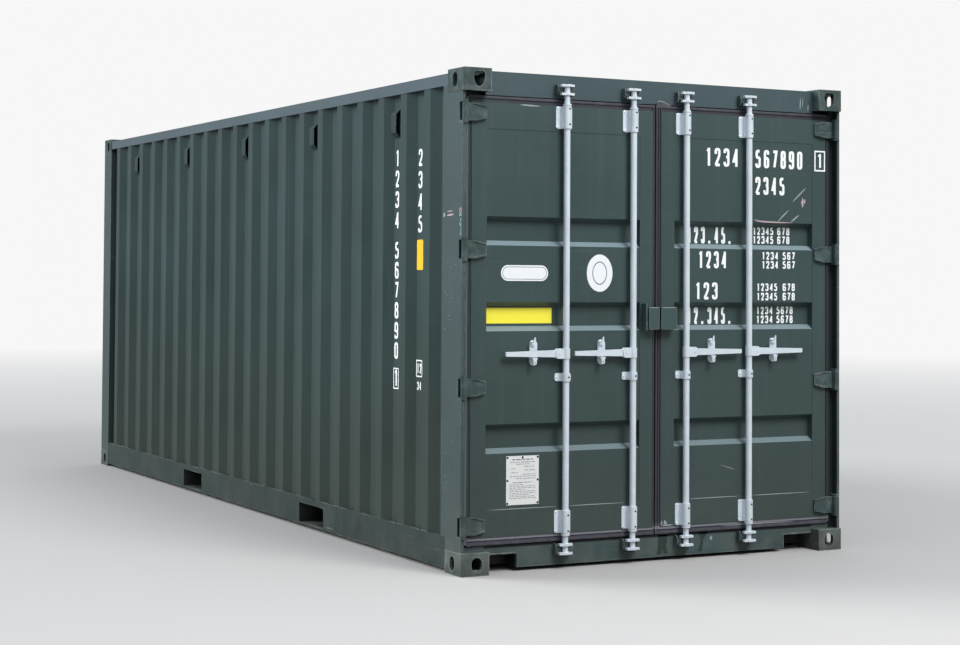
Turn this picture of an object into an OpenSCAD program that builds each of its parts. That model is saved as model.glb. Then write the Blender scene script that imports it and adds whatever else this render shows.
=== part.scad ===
// Twenty foot steel dry container, door end towards -Y, origin at the middle of its footprint.
// All sizes are in millimetres.

/* [Overall size] */
// Length over the corner castings
length = 6058; // [5600:1:6600]
// Width over the corner castings
width = 2438; // [2400:1:2600]
// Height over the corner castings
height = 2591; // [2438:1:2896]

/* [Corner castings] */
// Casting size along the container
casting_l = 178; // [170:1:190]
// Casting size across the container
casting_w = 162; // [155:1:170]
// Casting height
casting_h = 118; // [112:1:124]
// Wall of a casting with an aperture in its side or end
casting_wall = 15; // [10:1:20]
// Thickness of the plate that holds the twistlock aperture
casting_plate = 28; // [22:1:32]
// Length of the twistlock aperture
lock_slot_l = 124; // [116:1:126]
// Width of the twistlock aperture
lock_slot_w = 63.5; // [58:0.5:68]
// Height of the apertures in side and end
face_slot_h = 75; // [60:1:80]
// Width of the end aperture
end_slot_w = 62; // [50:1:66]
// Width of the side aperture
side_slot_w = 51; // [44:1:56]
// Distance of the end aperture from the side of the container
end_slot_u = 90; // [85:1:95]
// Distance of the side aperture from the end of the container
side_slot_v = 101; // [95:1:105]
// Height of the aperture centres in a bottom casting
face_slot_z = 57; // [54:1:62]
// Radius of a casting's outer upright edge
casting_r = 10; // [6:1:14]

/* [Corner posts] */
// Depth of the door post along the container
post_depth = 228; // [200:1:250]
// Plate thickness of the posts
post_t = 6; // [4:0.5:8]
// How far posts lie inside the side of the castings
post_inset = 2; // [1:1:5]
// Distance of the door post's front lip from the door end
lip_front = 18; // [12:1:24]
// Width of the front lip, measured from the side
lip_w = 17; // [15:1:20]
// Distance of the stepped face behind the hinges from the door end
step_front = 60; // [58:1:64]
// Width to the inner edge of the stepped face
step_w = 45; // [42:1:50]
// Distance of the jamb behind the doors from the door end
jamb_front = 116; // [112:1:124]
// Width to the inner edge of the jamb
jamb_w = 67; // [60:1:75]
// Depth of the jamb's box along the container
jamb_depth = 84; // [70:1:95]
// Inner width of a front post's flat face
front_post_face = 44; // [40:1:50]

/* [Rails] */
// Height of the bottom rails above the ground
rail_low = 20; // [12:1:26]
// Height of the bottom rail channel
rail_h = 164; // [155:1:175]
// Width of the bottom rail's upper flange
rail_flange = 48; // [46:1:60]
// Width of the bottom rail's lower flange
rail_toe = 30; // [25:1:40]
// Plate thickness of the bottom rails
rail_t = 4.5; // [3:0.5:6]
// How far rails lie inside the side of the castings
rail_inset = 3; // [1:1:6]
// Size of the square top rails
top_rail = 60; // [50:1:70]
// Wall of the square top rails
top_rail_t = 3; // [2:0.5:5]
// Distance of the top rails below the top of the castings
top_rail_drop = 20; // [18:1:30]
// Height of the front bottom rail
front_rail_h = 110; // [90:1:140]

/* [Walls] */
// Thickness of the wall and roof sheets
sheet = 2; // [1.5:0.5:3]
// Distance of the outer folds of a side wall from the side
wall_out = 6; // [4:1:10]
// Depth of the side wall folds
wall_depth = 35; // [25:1:36]
// Length of one fold along a side wall
wall_pitch = 278.5; // [260:0.5:300]
// Outer flat of a side fold
wall_crest = 72; // [60:1:80]
// Sloping part of a side fold
wall_slope = 68; // [50:1:75]
// Inner flat beside the door post
first_flat = 88; // [60:1:120]
// Length of one fold across the front wall
front_pitch = 250; // [230:1:270]
// Outer flat of a front fold
front_crest = 110; // [90:1:120]
// Sloping part of a front fold
front_slope = 18; // [14:1:30]
// Depth of the front wall folds
front_depth = 38; // [30:1:40]

/* [Roof] */
// Pitch of the roof's pressed panels
roof_pitch = 209; // [190:1:230]
// Width of a pressed panel along the container
roof_pad = 150; // [120:1:170]
// Height of the pressed panels
roof_rise = 12; // [6:1:14]
// Plain edge of the roof sheet beside the pressed panels
roof_edge = 90; // [70:1:130]

/* [Floor] */
// Thickness of the floor boards
board_t = 28; // [24:1:32]
// Gap between the floor and the upper flanges of the bottom rails
floor_gap = 0.5; // [0.3:0.1:2]
// Length of a floor board along the container
board_l = 1160; // [1000:1:1220]
// Joint between floor boards
board_joint = 3; // [2:1:5]
// Nominal spacing of the cross members
cross_pitch = 290; // [250:1:330]
// Flange width of a cross member
cross_flange = 45; // [35:1:55]
// Plate thickness of a cross member
cross_t = 4; // [3:0.5:6]

/* [Fork pockets] */
// Clear width of a fork pocket
pocket_w = 360; // [340:1:380]
// Clear height of a fork pocket
pocket_h = 115; // [100:1:118]
// Distance between the two fork pockets
pocket_span = 2050; // [1950:1:2100]
// Distance from the door end to the nearer fork pocket
pocket_first = 1893; // [1800:1:2000]
// Plate thickness of a fork pocket
pocket_t = 4; // [3:0.5:6]

/* [Header and sill] */
// Distance of header and sill faces from the door end
cross_face = 66; // [64:1:70]
// Depth of header and sill boxes
cross_box = 112; // [100:1:120]
// Plate thickness of header and sill
cross_plate = 5; // [3:0.5:6]
// Height of the header's front face
header_h = 124; // [110:1:140]
// Distance of the header's top below the castings' top
header_drop = 7; // [6:1:12]
// Depth of the header's rear lip below its front face
header_lip = 14; // [10:1:20]
// Height of the sill's front face
sill_h = 118; // [100:1:124]
// Height of the sill's notches above the ground
notch_h = 93; // [60:1:100]
// Half width of the sill between its two notches
notch_half = 860; // [820:1:900]

/* [Doors] */
// Distance of the doors' outer face from the door end
door_face = 53; // [52:1:54]
// Thickness of a door frame
door_t = 50; // [45:1:52]
// Wall of the door frame tubes
door_wall = 3.2; // [2:0.1:5]
// Running gap between a door gasket and the frame round it
door_gap = 6; // [5:0.5:8]
// Half of the gap between the two doors
mid_gap = 4; // [3.5:0.5:5]
// Distance of the doors' meeting line to the left of the middle
mid_shift = 10; // [0:1:12]
// Gasket width at the foot of a door
gasket_foot = 41; // [30:1:45]
// Gasket width at the head of a door
gasket_head = 34; // [25:1:40]
// Gasket width at the hinge side
gasket_side = 17; // [12:1:20]
// Gasket width at the middle of the doorway
gasket_mid = 17.5; // [14:0.5:20]
// Distance of a door's steel edge from the container's side
leaf_edge = 76; // [74:1:80]
// Width of the upright frame members of a door
stile_w = 90; // [80:1:100]
// Height of a door's top member
head_h = 135; // [125:1:150]
// Height of a door's bottom member
foot_h = 137; // [125:1:150]
// Distance of the door sheet behind the door face
panel_back = 2; // [1:0.5:4]
// Depth of the recessed ribs of a door
rib_depth = 36; // [25:1:40]
// Height of a rib at the door sheet
rib_open = 150; // [120:1:170]
// Height of each sloping side of a rib
rib_slope = 25; // [15:1:35]
// Height of the lowest rib above the ground
rib_low = 686; // [620:1:740]
// Height of the middle rib above the ground
rib_mid = 1315; // [1290:1:1330]
// Height of the top rib above the ground
rib_top = 1758; // [1700:1:1850]

/* [Hinges] */
// Distance of a hinge pin from side and end of the container
pin_u = 20; // [19:1:21]
// Distance of a hinge pin from the door end
pin_v = 22; // [21:1:23]
// Diameter of a hinge pin
pin_d = 19; // [14:1:20]
// Outer diameter of the hinge knuckles
knuckle_d = 32; // [28:1:34]
// Radial clearance of pins and rods in their holes
pin_fit = 0.1; // [0.05:0.05:0.2]
// Height of a hinge blade at its knuckle
blade_h = 92; // [80:1:110]
// Height of a hinge blade at its tip
blade_tip_h = 64; // [56:1:79]
// Thickness of a hinge blade
blade_t = 12; // [10:1:14]
// Length of a hinge blade from its pin
blade_l = 139; // [130:1:160]
// Thickness of a hinge ear on the post
ear_t = 12; // [8:1:16]
// Running gap between a hinge knuckle and its ears
ear_gap = 1.5; // [1:0.5:3]
// Distance of the lowest hinge above the door's lower edge
hinge_foot = 63; // [60:1:90]
// Distance of the top hinge below the door's upper edge
hinge_head = 53; // [50:1:90]

/* [Locking gear] */
// Diameter of a locking bar
bar_d = 34; // [27:1:36]
// Wall of a locking bar's tube
bar_wall = 3.5; // [2:0.5:5]
// Distance of the locking bars from the door end
bar_v = 24; // [23:1:25]
// Distance of the inner locking bars from the middle
bar_in = 172; // [160:1:190]
// Distance of the outer locking bars from the middle
bar_out = 590; // [570:1:620]
// Radial gap of a locking bar in its brackets
bar_gap = 0.4; // [0.3:0.1:0.6]
// Plate thickness of the brackets round a bar
bracket_t = 5; // [4:0.5:5]
// Distance of a bracket's left edge from its bar
bracket_left = 53; // [48:1:60]
// Distance of a bracket's right edge from its bar
bracket_right = 45; // [40:1:50]
// Height of the brackets at head and foot
bracket_h = 118; // [100:1:120]
// Height of the middle brackets
guide_h = 42; // [30:1:60]
// Height of the middle brackets' centre above the ground
guide_z = 998; // [960:1:1010]
// Thickness of a cam flange
cam_t = 12; // [8:1:13]
// Distance between the outer faces of the two cam flanges
cam_h = 57; // [50:1:58]
// Diameter of the stem between the cam flanges
cam_stem = 30; // [24:1:32]
// Reach of a cam towards its handle side
cam_nose = 40; // [36:1:45]
// Reach of a cam on its other side
cam_tail = 37; // [30:1:37]
// Height of the lowest cam face above the ground
cam_low = 76; // [72:1:78]
// Distance of the highest cam face below the castings' top
cam_top_drop = 58; // [56:1:64]
// Running gap between cams and keepers
keeper_gap = 5; // [5:0.5:6]
// Thickness of the keeper side plates
keeper_t = 6; // [5:1:8]
// Diameter of the collars that hold a bar up in its brackets
collar_d = 45; // [40:1:47]
// Height of a collar
collar_h = 11; // [6:1:14]
// Corner radius of the bracket flanges
bracket_r = 11; // [4:1:14]

/* [Handles] */
// Height of the handles above the ground
handle_z = 1122; // [1110:1:1130]
// Distance of a handle's pin from its bar
handle_pin = 50; // [46:1:54]
// Distance of a handle's tip from its bar
handle_l = 365; // [340:1:375]
// Thickness of a handle
handle_t = 12; // [10:1:14]
// Height of a handle at its root
handle_root_h = 37; // [30:1:40]
// Height of a handle at its tip
handle_tip_h = 23; // [18:1:29]
// Diameter of a handle's pin
handle_pin_d = 12; // [10:1:14]
// Thickness of the two hub plates that hold a handle
cheek_t = 5; // [4:0.5:6]
// Height of a hub plate
hub_h = 53; // [44:1:58]
// Distance of a hub plate's outer edge from its bar
hub_l = 66; // [64:1:76]
// Distance of a handle retainer from its bar
retainer_x = 184; // [170:1:200]
// Width of a handle retainer
retainer_w = 46; // [40:1:54]
// Height of a handle retainer
retainer_h = 132; // [126:1:150]
// Plate thickness of a handle retainer
retainer_t = 6; // [4:0.5:8]
// Gap between a handle and the shelf under it
shelf_gap = 5.2; // [5:0.1:6]
// Distance of a shelf to the left of its retainer's middle
shelf_left = 11; // [0:1:14]
// Distance of a catch's pivot above its handle
catch_up = 48; // [48:1:54]
// Distance of a catch's step from its pivot
catch_step = 13; // [11:0.5:13]
// Length of a catch from its pivot
catch_l = 40; // [36:1:46]
// Thickness of a catch
catch_t = 5; // [4:0.5:6]

/* [Lock box] */
// Width of a lock box half
box_w = 102; // [92:1:104]
// Height of the lock box
box_h = 119; // [100:1:125]
// Height of the lock box's lower edge above the ground
box_z = 1245; // [1235:1:1250]
// Distance of the lock box's face from the door end
box_front = 5; // [4:1:8]
// Plate thickness of the lock box
box_t = 3; // [2:0.5:5]
// Distance of the left side plate from the middle
box_plate_x = 100; // [96:1:104]
// Thickness of the left side plate
box_plate_t = 6; // [4:1:6]

/* [Vents and plate] */
// Length of a vent cover along the wall
vent_l = 62; // [50:1:66]
// Height of a vent cover at the wall
vent_h = 160; // [130:1:180]
// Height of a vent cover's outer face
vent_face_h = 100; // [80:1:120]
// Distance of a vent cover's outer face from the side
vent_face = 13; // [10:1:18]
// Distance of the vent centres below the top rails
vent_drop = 153; // [120:1:250]
// Folds between one vent and the next
vent_step = 4; // [3:1:5]
// Width of the data plate
plate_w = 195; // [150:1:220]
// Height of the data plate
plate_h = 252; // [200:1:260]
// Thickness of the data plate
plate_t = 2; // [1:0.5:3]
// Distance of the data plate from the door's hinge side member
plate_in = 123; // [60:1:160]
// Height of the data plate's centre above the ground
plate_z = 469; // [460:1:475]

/* [Hidden] */
$fn = 48;
paint = [0.27, 0.34, 0.32];
zinc = [0.78, 0.81, 0.84];
rubber = [0.24, 0.23, 0.27];
timber = [0.55, 0.42, 0.28];
pale = [0.88, 0.88, 0.87];
// A cut reaches this far past the face that it goes through
past = 1;
side = -width / 2;
end = -length / 2;
// Heights that pieces share
rail_top = rail_low + rail_h;
floor_top = rail_top - rail_t - floor_gap;
board_low = floor_top - board_t;
sill_top = rail_low + sill_h;
roof_z = height - top_rail_drop;
top_rail_z = roof_z - top_rail;
vent_z = top_rail_z - vent_drop;
header_top = height - header_drop;
header_z = header_top - header_h;
jamb_top = header_z - header_lip;
// Door leaf and gasket edges
gasket_z0 = sill_top + door_gap;
gasket_z1 = header_z - door_gap;
leaf_z0 = gasket_z0 + gasket_foot;
leaf_z1 = gasket_z1 - gasket_head;
leaf_x0 = side + leaf_edge;
leaf_x1 = -mid_gap - gasket_mid;
gasket_x0 = leaf_x0 - gasket_side;
stile_x0 = leaf_x0 + stile_w;
stile_x1 = leaf_x1 - stile_w;
panel_v = door_face + panel_back;
// Walls
wall_end = length - casting_l;
wall_run = wall_end - post_depth;
wall_trough = wall_pitch - wall_crest - 2 * wall_slope;
wall_waves = floor((wall_run - first_flat + wall_trough / 2) / wall_pitch);
wall_in = wall_out + wall_depth;
front_run = width - 2 * casting_w;
front_waves = floor((front_run - front_pitch / 2) / front_pitch);
front_out = rail_inset;
// Hinges
hinge_step = (leaf_z1 - hinge_head - leaf_z0 - hinge_foot) / 3;
hinge_z = [for (i = [0 : 3]) leaf_z0 + hinge_foot + i * hinge_step];
ear_z = blade_h / 2 + ear_gap;
notch_z = ear_z + ear_t;
notch_v = pin_v + knuckle_d / 2 + 13;
// Locking gear
bars = [-bar_out, -bar_in, bar_in, bar_out];
bar_y = end + bar_v;
cam_high = height - cam_top_drop;
keeper_in = cam_t + keeper_gap;
keeper_reach = 8;
stem_gap = cam_stem / 2 + keeper_gap + 1;
// Fork pockets
pockets = [pocket_first, pocket_first + pocket_span];
pocket_top = board_low - pocket_t;
pocket_z = pocket_top - pocket_h;

// A profile drawn as (x, y), standing between two heights
module along_z(z0, z1) translate([0, 0, z0]) linear_extrude(z1 - z0) children();
// A profile drawn as (y, z), running between two places across the container
module along_x(x0, x1) translate([x0, 0, 0]) rotate([90, 0, 90]) linear_extrude(x1 - x0) children();
// A profile drawn as (x, z), running between two places along the container
module along_y(y0, y1) translate([0, y1, 0]) rotate([90, 0, 0]) linear_extrude(y1 - y0) children();
// A box between two corners
module block(low, high) translate(low) cube(high - low);
// The same thing on both sides of the container
module both_sides() {
    children();
    mirror([1, 0, 0]) children();
}
// A slot with round ends
module slot_2d(w, h) {
    r = min(w, h) / 2;
    if (w > h) {
        square([w - 2 * r, h], center = true);
        for (s = [-1, 1]) translate([s * (w / 2 - r), 0]) circle(r);
    } else {
        square([w, h - 2 * r], center = true);
        for (s = [-1, 1]) translate([0, s * (h / 2 - r)]) circle(r);
    }
}
// Points of a folded sheet: [distance along it, depth]
function folds(run, lead, waves, pitch, crest, slope, depth) = concat(
    [[0, depth]],
    [for (i = [0 : waves - 1])
        for (p = [[0, depth], [slope, 0], [slope + crest, 0], [2 * slope + crest, depth]])
            [lead + i * pitch + p[0], p[1]]],
    [[run, depth]]
);
function reversed(list) = [for (i = [len(list) - 1 : -1 : 0]) list[i]];
// The same points on both faces of the sheet
function sheet_outline(points) = concat(points, reversed([for (p = points) [p[0], p[1] + sheet]]));

// Corner castings

// The end aperture of a top casting: straight above, narrowing below
module shield_2d(w, h) {
    r = w / 4;
    for (s = [-1, 1]) translate([s * (w / 2 - r), h / 2 - r]) circle(r);
    low = w * 0.42;
    translate([0, low - h / 2]) circle(low);
    polygon([
        [-w / 2, h / 2 - r], [-w / 2, 0], [-w * 0.4, low * 0.7 - h / 2], [w * 0.4, low * 0.7 - h / 2],
        [w / 2, 0], [w / 2, h / 2 - r], [w / 2 - r, h / 2], [r - w / 2, h / 2]
    ]);
}
// A casting with its outer corner at the origin, standing as at the bottom; top = 1 for the other aperture
module casting(top) {
    difference() {
        along_z(0, casting_h) {
            translate([casting_r, casting_r]) circle(casting_r);
            polygon([[casting_r, 0], [casting_w, 0], [casting_w, casting_l], [0, casting_l], [0, casting_r]]);
        }
        block([casting_wall, casting_wall, casting_plate],
              [casting_w - casting_wall, casting_l - casting_wall, casting_h - casting_wall]);
        translate([end_slot_u, side_slot_v]) along_z(-past, casting_plate + past)
            slot_2d(lock_slot_w, lock_slot_l);
        translate([end_slot_u, 0, face_slot_z]) along_y(-past, casting_wall + past)
            if (top) mirror([0, 1]) shield_2d(end_slot_w + 4, face_slot_h + 3);
            else slot_2d(end_slot_w, face_slot_h);
        translate([0, side_slot_v, face_slot_z]) along_x(-past, casting_wall + past)
            slot_2d(side_slot_w, face_slot_h);
    }
}
module four_castings(top) {
    both_sides() for (turn = [0, 1]) mirror([0, turn, 0]) translate([side, end]) casting(top);
}
module bottom_castings() color(paint) four_castings(0);
module top_castings() color(paint) translate([0, 0, height]) mirror([0, 0, 1]) four_castings(1);

// Corner posts

module door_post_2d() {
    t = post_t;
    i = post_inset;
    back = jamb_front + jamb_depth;
    translate([side, end]) difference() {
        polygon([
            [i, lip_front], [lip_w, lip_front], [lip_w, step_front], [step_w, step_front],
            [step_w, jamb_front], [jamb_w, jamb_front], [jamb_w, back], [step_w, back],
            [step_w, post_depth], [i, post_depth]
        ]);
        polygon([
            [i + t, lip_front + t], [lip_w - t / 2, lip_front + t], [lip_w - t / 2, step_front + t],
            [step_w - t, step_front + t], [step_w - t, jamb_front + t], [jamb_w - t, jamb_front + t],
            [jamb_w - t, back - t], [step_w - t, back - t], [step_w - t, post_depth - t],
            [i + t, post_depth - t]
        ]);
    }
}
// The notch that lets a hinge blade swing round the post's edge
module hinge_notch(z) {
    translate([side, end, z - notch_z]) {
        block([-past, 0, 0], [pin_u - 10, notch_v, 2 * notch_z]);
        block([post_inset + post_t, 0, 0], [step_w + past, step_front, 2 * notch_z]);
    }
}
module door_post() {
    difference() {
        union() {
            along_z(casting_h, height - casting_h) intersection() {
                door_post_2d();
                translate([side, end]) square([casting_w, casting_l]);
            }
            along_z(rail_top, top_rail_z) intersection() {
                door_post_2d();
                translate([side, end + casting_l]) square([casting_w, casting_l]);
            }
        }
        for (z = hinge_z) hinge_notch(z);
    }
}
module door_posts() color(paint) both_sides() door_post();

module front_post() {
    t = post_t;
    i = post_inset;
    f = front_post_face;
    // Inner side of the sloping plate, one plate thickness from its outer side
    run = [f - casting_w, casting_l - f];
    shift = t * norm(run);
    line = run[1] * casting_w - run[0] * f - shift;
    translate([side, -end]) mirror([0, 1, 0]) along_z(casting_h, height - casting_h) difference() {
        polygon([[i, i], [casting_w, i], [casting_w, f], [f, casting_l], [i, casting_l]]);
        polygon([
            [i + t, i + t], [casting_w - t, i + t],
            [casting_w - t, (line - run[1] * (casting_w - t)) / -run[0]],
            [(line + run[0] * (casting_l - t)) / run[1], casting_l - t], [i + t, casting_l - t]
        ]);
    }
}
module front_posts() color(paint) both_sides() front_post();

// Header and sill

module header_2d(t) {
    translate([end, 0]) polygon([
        [cross_face + t, header_z + t], [cross_face + t, header_top - t],
        [casting_l - t, header_top - t], [casting_l - t, header_z - header_lip + t],
        [jamb_front + t, header_z - header_lip + t], [jamb_front + t, header_z + t]
    ]);
}
module door_header() {
    half = width / 2 - casting_w;
    jamb_half = width / 2 - jamb_w;
    color(paint) {
        difference() {
            along_x(-half, half) header_2d(0);
            along_x(-half - past, half + past) header_2d(cross_plate);
        }
        both_sides() block([-jamb_half, end + jamb_front, jamb_top],
                           [-half, end + casting_l, height - casting_h]);
    }
}

module sill_2d(t) {
    translate([end, 0]) polygon([
        [cross_face + t, rail_low + t], [cross_face + t, sill_top - t],
        [jamb_front + t, sill_top - t], [jamb_front + t, floor_top - t],
        [casting_l - t, floor_top - t], [casting_l - t, rail_low + t]
    ]);
}
module door_sill() {
    half = width / 2 - casting_w;
    color(paint) {
        difference() {
            along_x(-half, half) sill_2d(0);
            along_x(-half - past, half + past) sill_2d(cross_plate);
            both_sides() block([-half - past, end, 0], [-notch_half, end + casting_l + past, notch_h]);
        }
        both_sides() {
            block([side + step_w, end + cross_face, casting_h],
                  [-half, end + jamb_front, sill_top]);
            block([side + jamb_w, end + jamb_front, casting_h],
                  [-half, end + casting_l, floor_top]);
            // Lining of the notch, a little proud of the face
            block([-half, end + cross_face - 4, notch_h],
                  [cross_plate - notch_half, end + casting_l, notch_h + cross_plate]);
            block([-notch_half, end + cross_face - 4, rail_low],
                  [cross_plate - notch_half, end + casting_l, notch_h + cross_plate]);
        }
    }
}

// Rails

module tube_2d(w, h, t) difference() {
    square([w, h]);
    translate([t, t]) square([w - 2 * t, h - 2 * t]);
}
module top_rail_side() {
    translate([side + rail_inset, 0, top_rail_z])
        along_y(end + casting_l, -end - casting_l) tube_2d(top_rail, top_rail, top_rail_t);
}
module top_rails() color(paint) both_sides() top_rail_side();

module bottom_rail() {
    t = rail_t;
    translate([side + rail_inset, 0, rail_low]) difference() {
        along_y(end + casting_l, -end - casting_l) polygon([
            [0, 0], [rail_toe, 0], [rail_toe, t], [t, t], [t, rail_h - t],
            [rail_flange, rail_h - t], [rail_flange, rail_h], [0, rail_h]
        ]);
        for (v = pockets)
            block([-past, end + v - pocket_w / 2, pocket_z - rail_low],
                  [t + past, end + v + pocket_w / 2, pocket_top - rail_low]);
    }
}
module bottom_rails() color(paint) both_sides() bottom_rail();

module front_rails() {
    half = width / 2 - casting_w;
    color(paint) translate([0, -end - rail_inset - top_rail]) {
        translate([0, 0, top_rail_z]) along_x(-half, half) tube_2d(top_rail, top_rail, top_rail_t);
        translate([0, 0, rail_low]) along_x(-half, half) tube_2d(top_rail, front_rail_h, rail_t);
    }
}

// Walls and roof

module side_wall() {
    points = folds(wall_run, first_flat, wall_waves, wall_pitch, wall_crest, wall_slope, wall_depth);
    translate([side + wall_out, end + post_depth]) along_z(rail_top, top_rail_z)
        polygon([for (p = sheet_outline(points)) [p[1], p[0]]]);
}
module side_wall_left() color(paint) side_wall();
module side_wall_right() color(paint) mirror([1, 0, 0]) side_wall();

module front_wall() {
    waves_l = (front_waves - 1) * front_pitch + front_crest + 2 * front_slope;
    points = folds(front_run, (front_run - waves_l) / 2, front_waves, front_pitch,
                   front_crest, front_slope, front_depth);
    color(paint) translate([side + casting_w, -end - front_out])
        along_z(rail_low + front_rail_h, top_rail_z)
        polygon([for (p = sheet_outline(points)) [p[0], -p[1]]]);
}

// One pressed panel, sloping on all four sides
module roof_pad(z) {
    half = width / 2 - roof_edge;
    rise = roof_rise + sheet;
    slope = 2 * roof_rise;
    translate([0, 0, z]) intersection() {
        along_x(-half, half)
            polygon([[0, 0], [roof_pad, 0], [roof_pad - slope, rise], [slope, rise]]);
        along_y(-past, roof_pad + past)
            polygon([[-half, 0], [half, 0], [half - slope, rise], [slope - half, rise]]);
    }
}
module roof_pads(z) {
    run = length - 2 * casting_l;
    count = floor(run / roof_pitch);
    lead = (run - (count - 1) * roof_pitch - roof_pad) / 2;
    for (i = [0 : count - 1]) translate([0, end + casting_l + lead + i * roof_pitch]) roof_pad(z);
}
module roof() {
    half = width / 2 - casting_w;
    color(paint) difference() {
        union() {
            block([side + 2 * rail_inset, end + casting_l, roof_z],
                  [-side - 2 * rail_inset, -end - casting_l, roof_z + sheet]);
            block([-half, -end - casting_l - past, roof_z], [half, -end - rail_inset, roof_z + sheet]);
            roof_pads(roof_z);
        }
        roof_pads(roof_z - sheet);
    }
}

// Underframe and floor

function clear_of_pockets(v) =
    min([for (p = pockets) abs(v - p)]) > pocket_w / 2 + pocket_t + cross_flange;
module cross_members() {
    t = cross_t;
    low = rail_low + rail_t;
    reach = width / 2 - rail_inset - rail_t;
    last = length - rail_inset - top_rail - cross_flange;
    color(paint) for (v = concat([for (a = [casting_l + 2 : cross_pitch : length - casting_l - cross_flange]) a], last))
        if (clear_of_pockets(v + cross_flange / 2)) {
            half = v == last ? width / 2 - casting_w : reach;
            translate([0, end + v, low]) along_x(-half, half) polygon([
                [0, 0], [cross_flange, 0], [cross_flange, t], [t, t],
                [t, board_low - low - t], [cross_flange, board_low - low - t],
                [cross_flange, board_low - low], [0, board_low - low]
            ]);
        }
}
module fork_pockets() {
    reach = width / 2 - rail_inset - rail_t;
    color(paint) for (v = pockets)
        translate([0, end + v - pocket_w / 2 - pocket_t, pocket_z - pocket_t])
            along_x(-reach, reach)
            tube_2d(pocket_w + 2 * pocket_t, pocket_h + 2 * pocket_t, pocket_t);
}
module floor_boards() {
    half = width / 2 - rail_inset - 2 * rail_t;
    y0 = end + casting_l;
    y1 = -end - rail_inset - top_rail;
    pitch = board_l + board_joint;
    count = ceil((y1 - y0) / pitch);
    color(timber) difference() {
        for (i = [0 : count - 1])
            block([-half, y0 + i * pitch, board_low],
                  [half, min(y0 + i * pitch + board_l, y1), floor_top]);
        both_sides() block([side, -end - casting_l, board_low - past],
                           [side + casting_w, -end, floor_top + past]);
    }
}

// Vent covers

module side_vents() {
    slope = (vent_h - vent_face_h) / 2;
    base = wall_in - vent_face;
    trough = first_flat + wall_pitch - wall_trough / 2;
    step = vent_step * wall_pitch;
    for (v = [trough + wall_pitch : step : wall_run - wall_pitch])
        translate([side + vent_face, end + post_depth + v - vent_l / 2, vent_z]) difference() {
            along_y(0, vent_l) polygon([
                [0, -vent_face_h / 2], [base, -vent_h / 2], [base, vent_h / 2], [0, vent_face_h / 2]
            ]);
            // The opening towards the door end
            along_y(-past, vent_l - 2 * sheet) polygon([
                [2 * sheet, 2 * sheet - vent_face_h / 2], [base - sheet, 2 * sheet - vent_h / 2],
                [base - sheet, vent_h / 2 - 2 * sheet], [2 * sheet, vent_face_h / 2 - 2 * sheet]
            ]);
        }
}
module vents() color(paint) both_sides() side_vents();

// Hinges

module post_lugs() {
    boss = knuckle_d / 2 - 1;
    translate([side, end]) for (z = hinge_z) {
        translate([pin_u, pin_v, z - notch_z]) cylinder(h = 2 * notch_z, d = pin_d);
        for (up = [0, 1]) translate([0, 0, z]) mirror([0, 0, up]) along_z(ear_z, notch_z) {
            translate([pin_u, pin_v]) circle(boss);
            translate([pin_u - 12, pin_v]) square([boss + 12, step_front - pin_v]);
            translate([post_inset, lip_front]) square([lip_w, notch_v - lip_front]);
        }
    }
}
module hinge_lugs() color(paint) both_sides() post_lugs();

// A blade: knuckle round the pin, web back to the door face, tapered plate with two edges that rise from it
module hinge_blade(z) {
    r = knuckle_d / 2;
    back = door_face - pin_v;
    front = back - blade_t;
    taper_x = blade_l * 0.55;
    ridge = [49, 71, blade_l - 4];
    ridge_w = 8;
    ridge_t = 5;
    translate([side + pin_u, end + pin_v, z]) difference() {
        union() {
            cylinder(h = blade_h, r = r, center = true);
            block([-6, 0, -blade_h / 2], [r, back, blade_h / 2]);
            along_y(front, back) polygon([
                [0, -blade_h / 2], [taper_x, -blade_h / 2], [blade_l, -blade_tip_h / 2],
                [blade_l, blade_tip_h / 2], [taper_x, blade_h / 2], [0, blade_h / 2]
            ]);
            for (up = [0, 1]) mirror([0, 0, up]) intersection() {
                along_y(front - ridge_t, back) polygon([
                    [ridge[0], blade_h / 2 - ridge_w], [taper_x, blade_h / 2 - ridge_w],
                    [ridge[2], blade_tip_h / 2 - ridge_w], [ridge[2], blade_tip_h / 2],
                    [taper_x, blade_h / 2], [ridge[0], blade_h / 2]
                ]);
                along_z(0, blade_h) polygon([
                    [ridge[0], front], [ridge[1], front - ridge_t], [ridge[2], front - ridge_t],
                    [ridge[2], back], [ridge[0], back]
                ]);
            }
        }
        cylinder(h = blade_h + 2 * past, d = pin_d + 2 * pin_fit, center = true);
    }
}
module door_hinges() for (z = hinge_z) hinge_blade(z);
module door_hinges_left() color(paint) door_hinges();
module door_hinges_right() color(paint) mirror([1, 0, 0]) door_hinges();

// Door leaves

module box_tube(low, high, t) difference() {
    block(low, high);
    block(low + [t, t, t], high - [t, t, t]);
}
module door_frame() {
    y0 = end + door_face;
    y1 = y0 + door_t;
    box_tube([leaf_x0, y0, leaf_z0], [stile_x0, y1, leaf_z1], door_wall);
    box_tube([stile_x1, y0, leaf_z0], [leaf_x1, y1, leaf_z1], door_wall);
    box_tube([stile_x0, y0, leaf_z0], [stile_x1, y1, leaf_z0 + foot_h], door_wall);
    box_tube([stile_x0, y0, leaf_z1 - head_h], [stile_x1, y1, leaf_z1], door_wall);
}
module door_frame_left() color(paint) door_frame();
module door_frame_right() color(paint) mirror([1, 0, 0]) door_frame();

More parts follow.
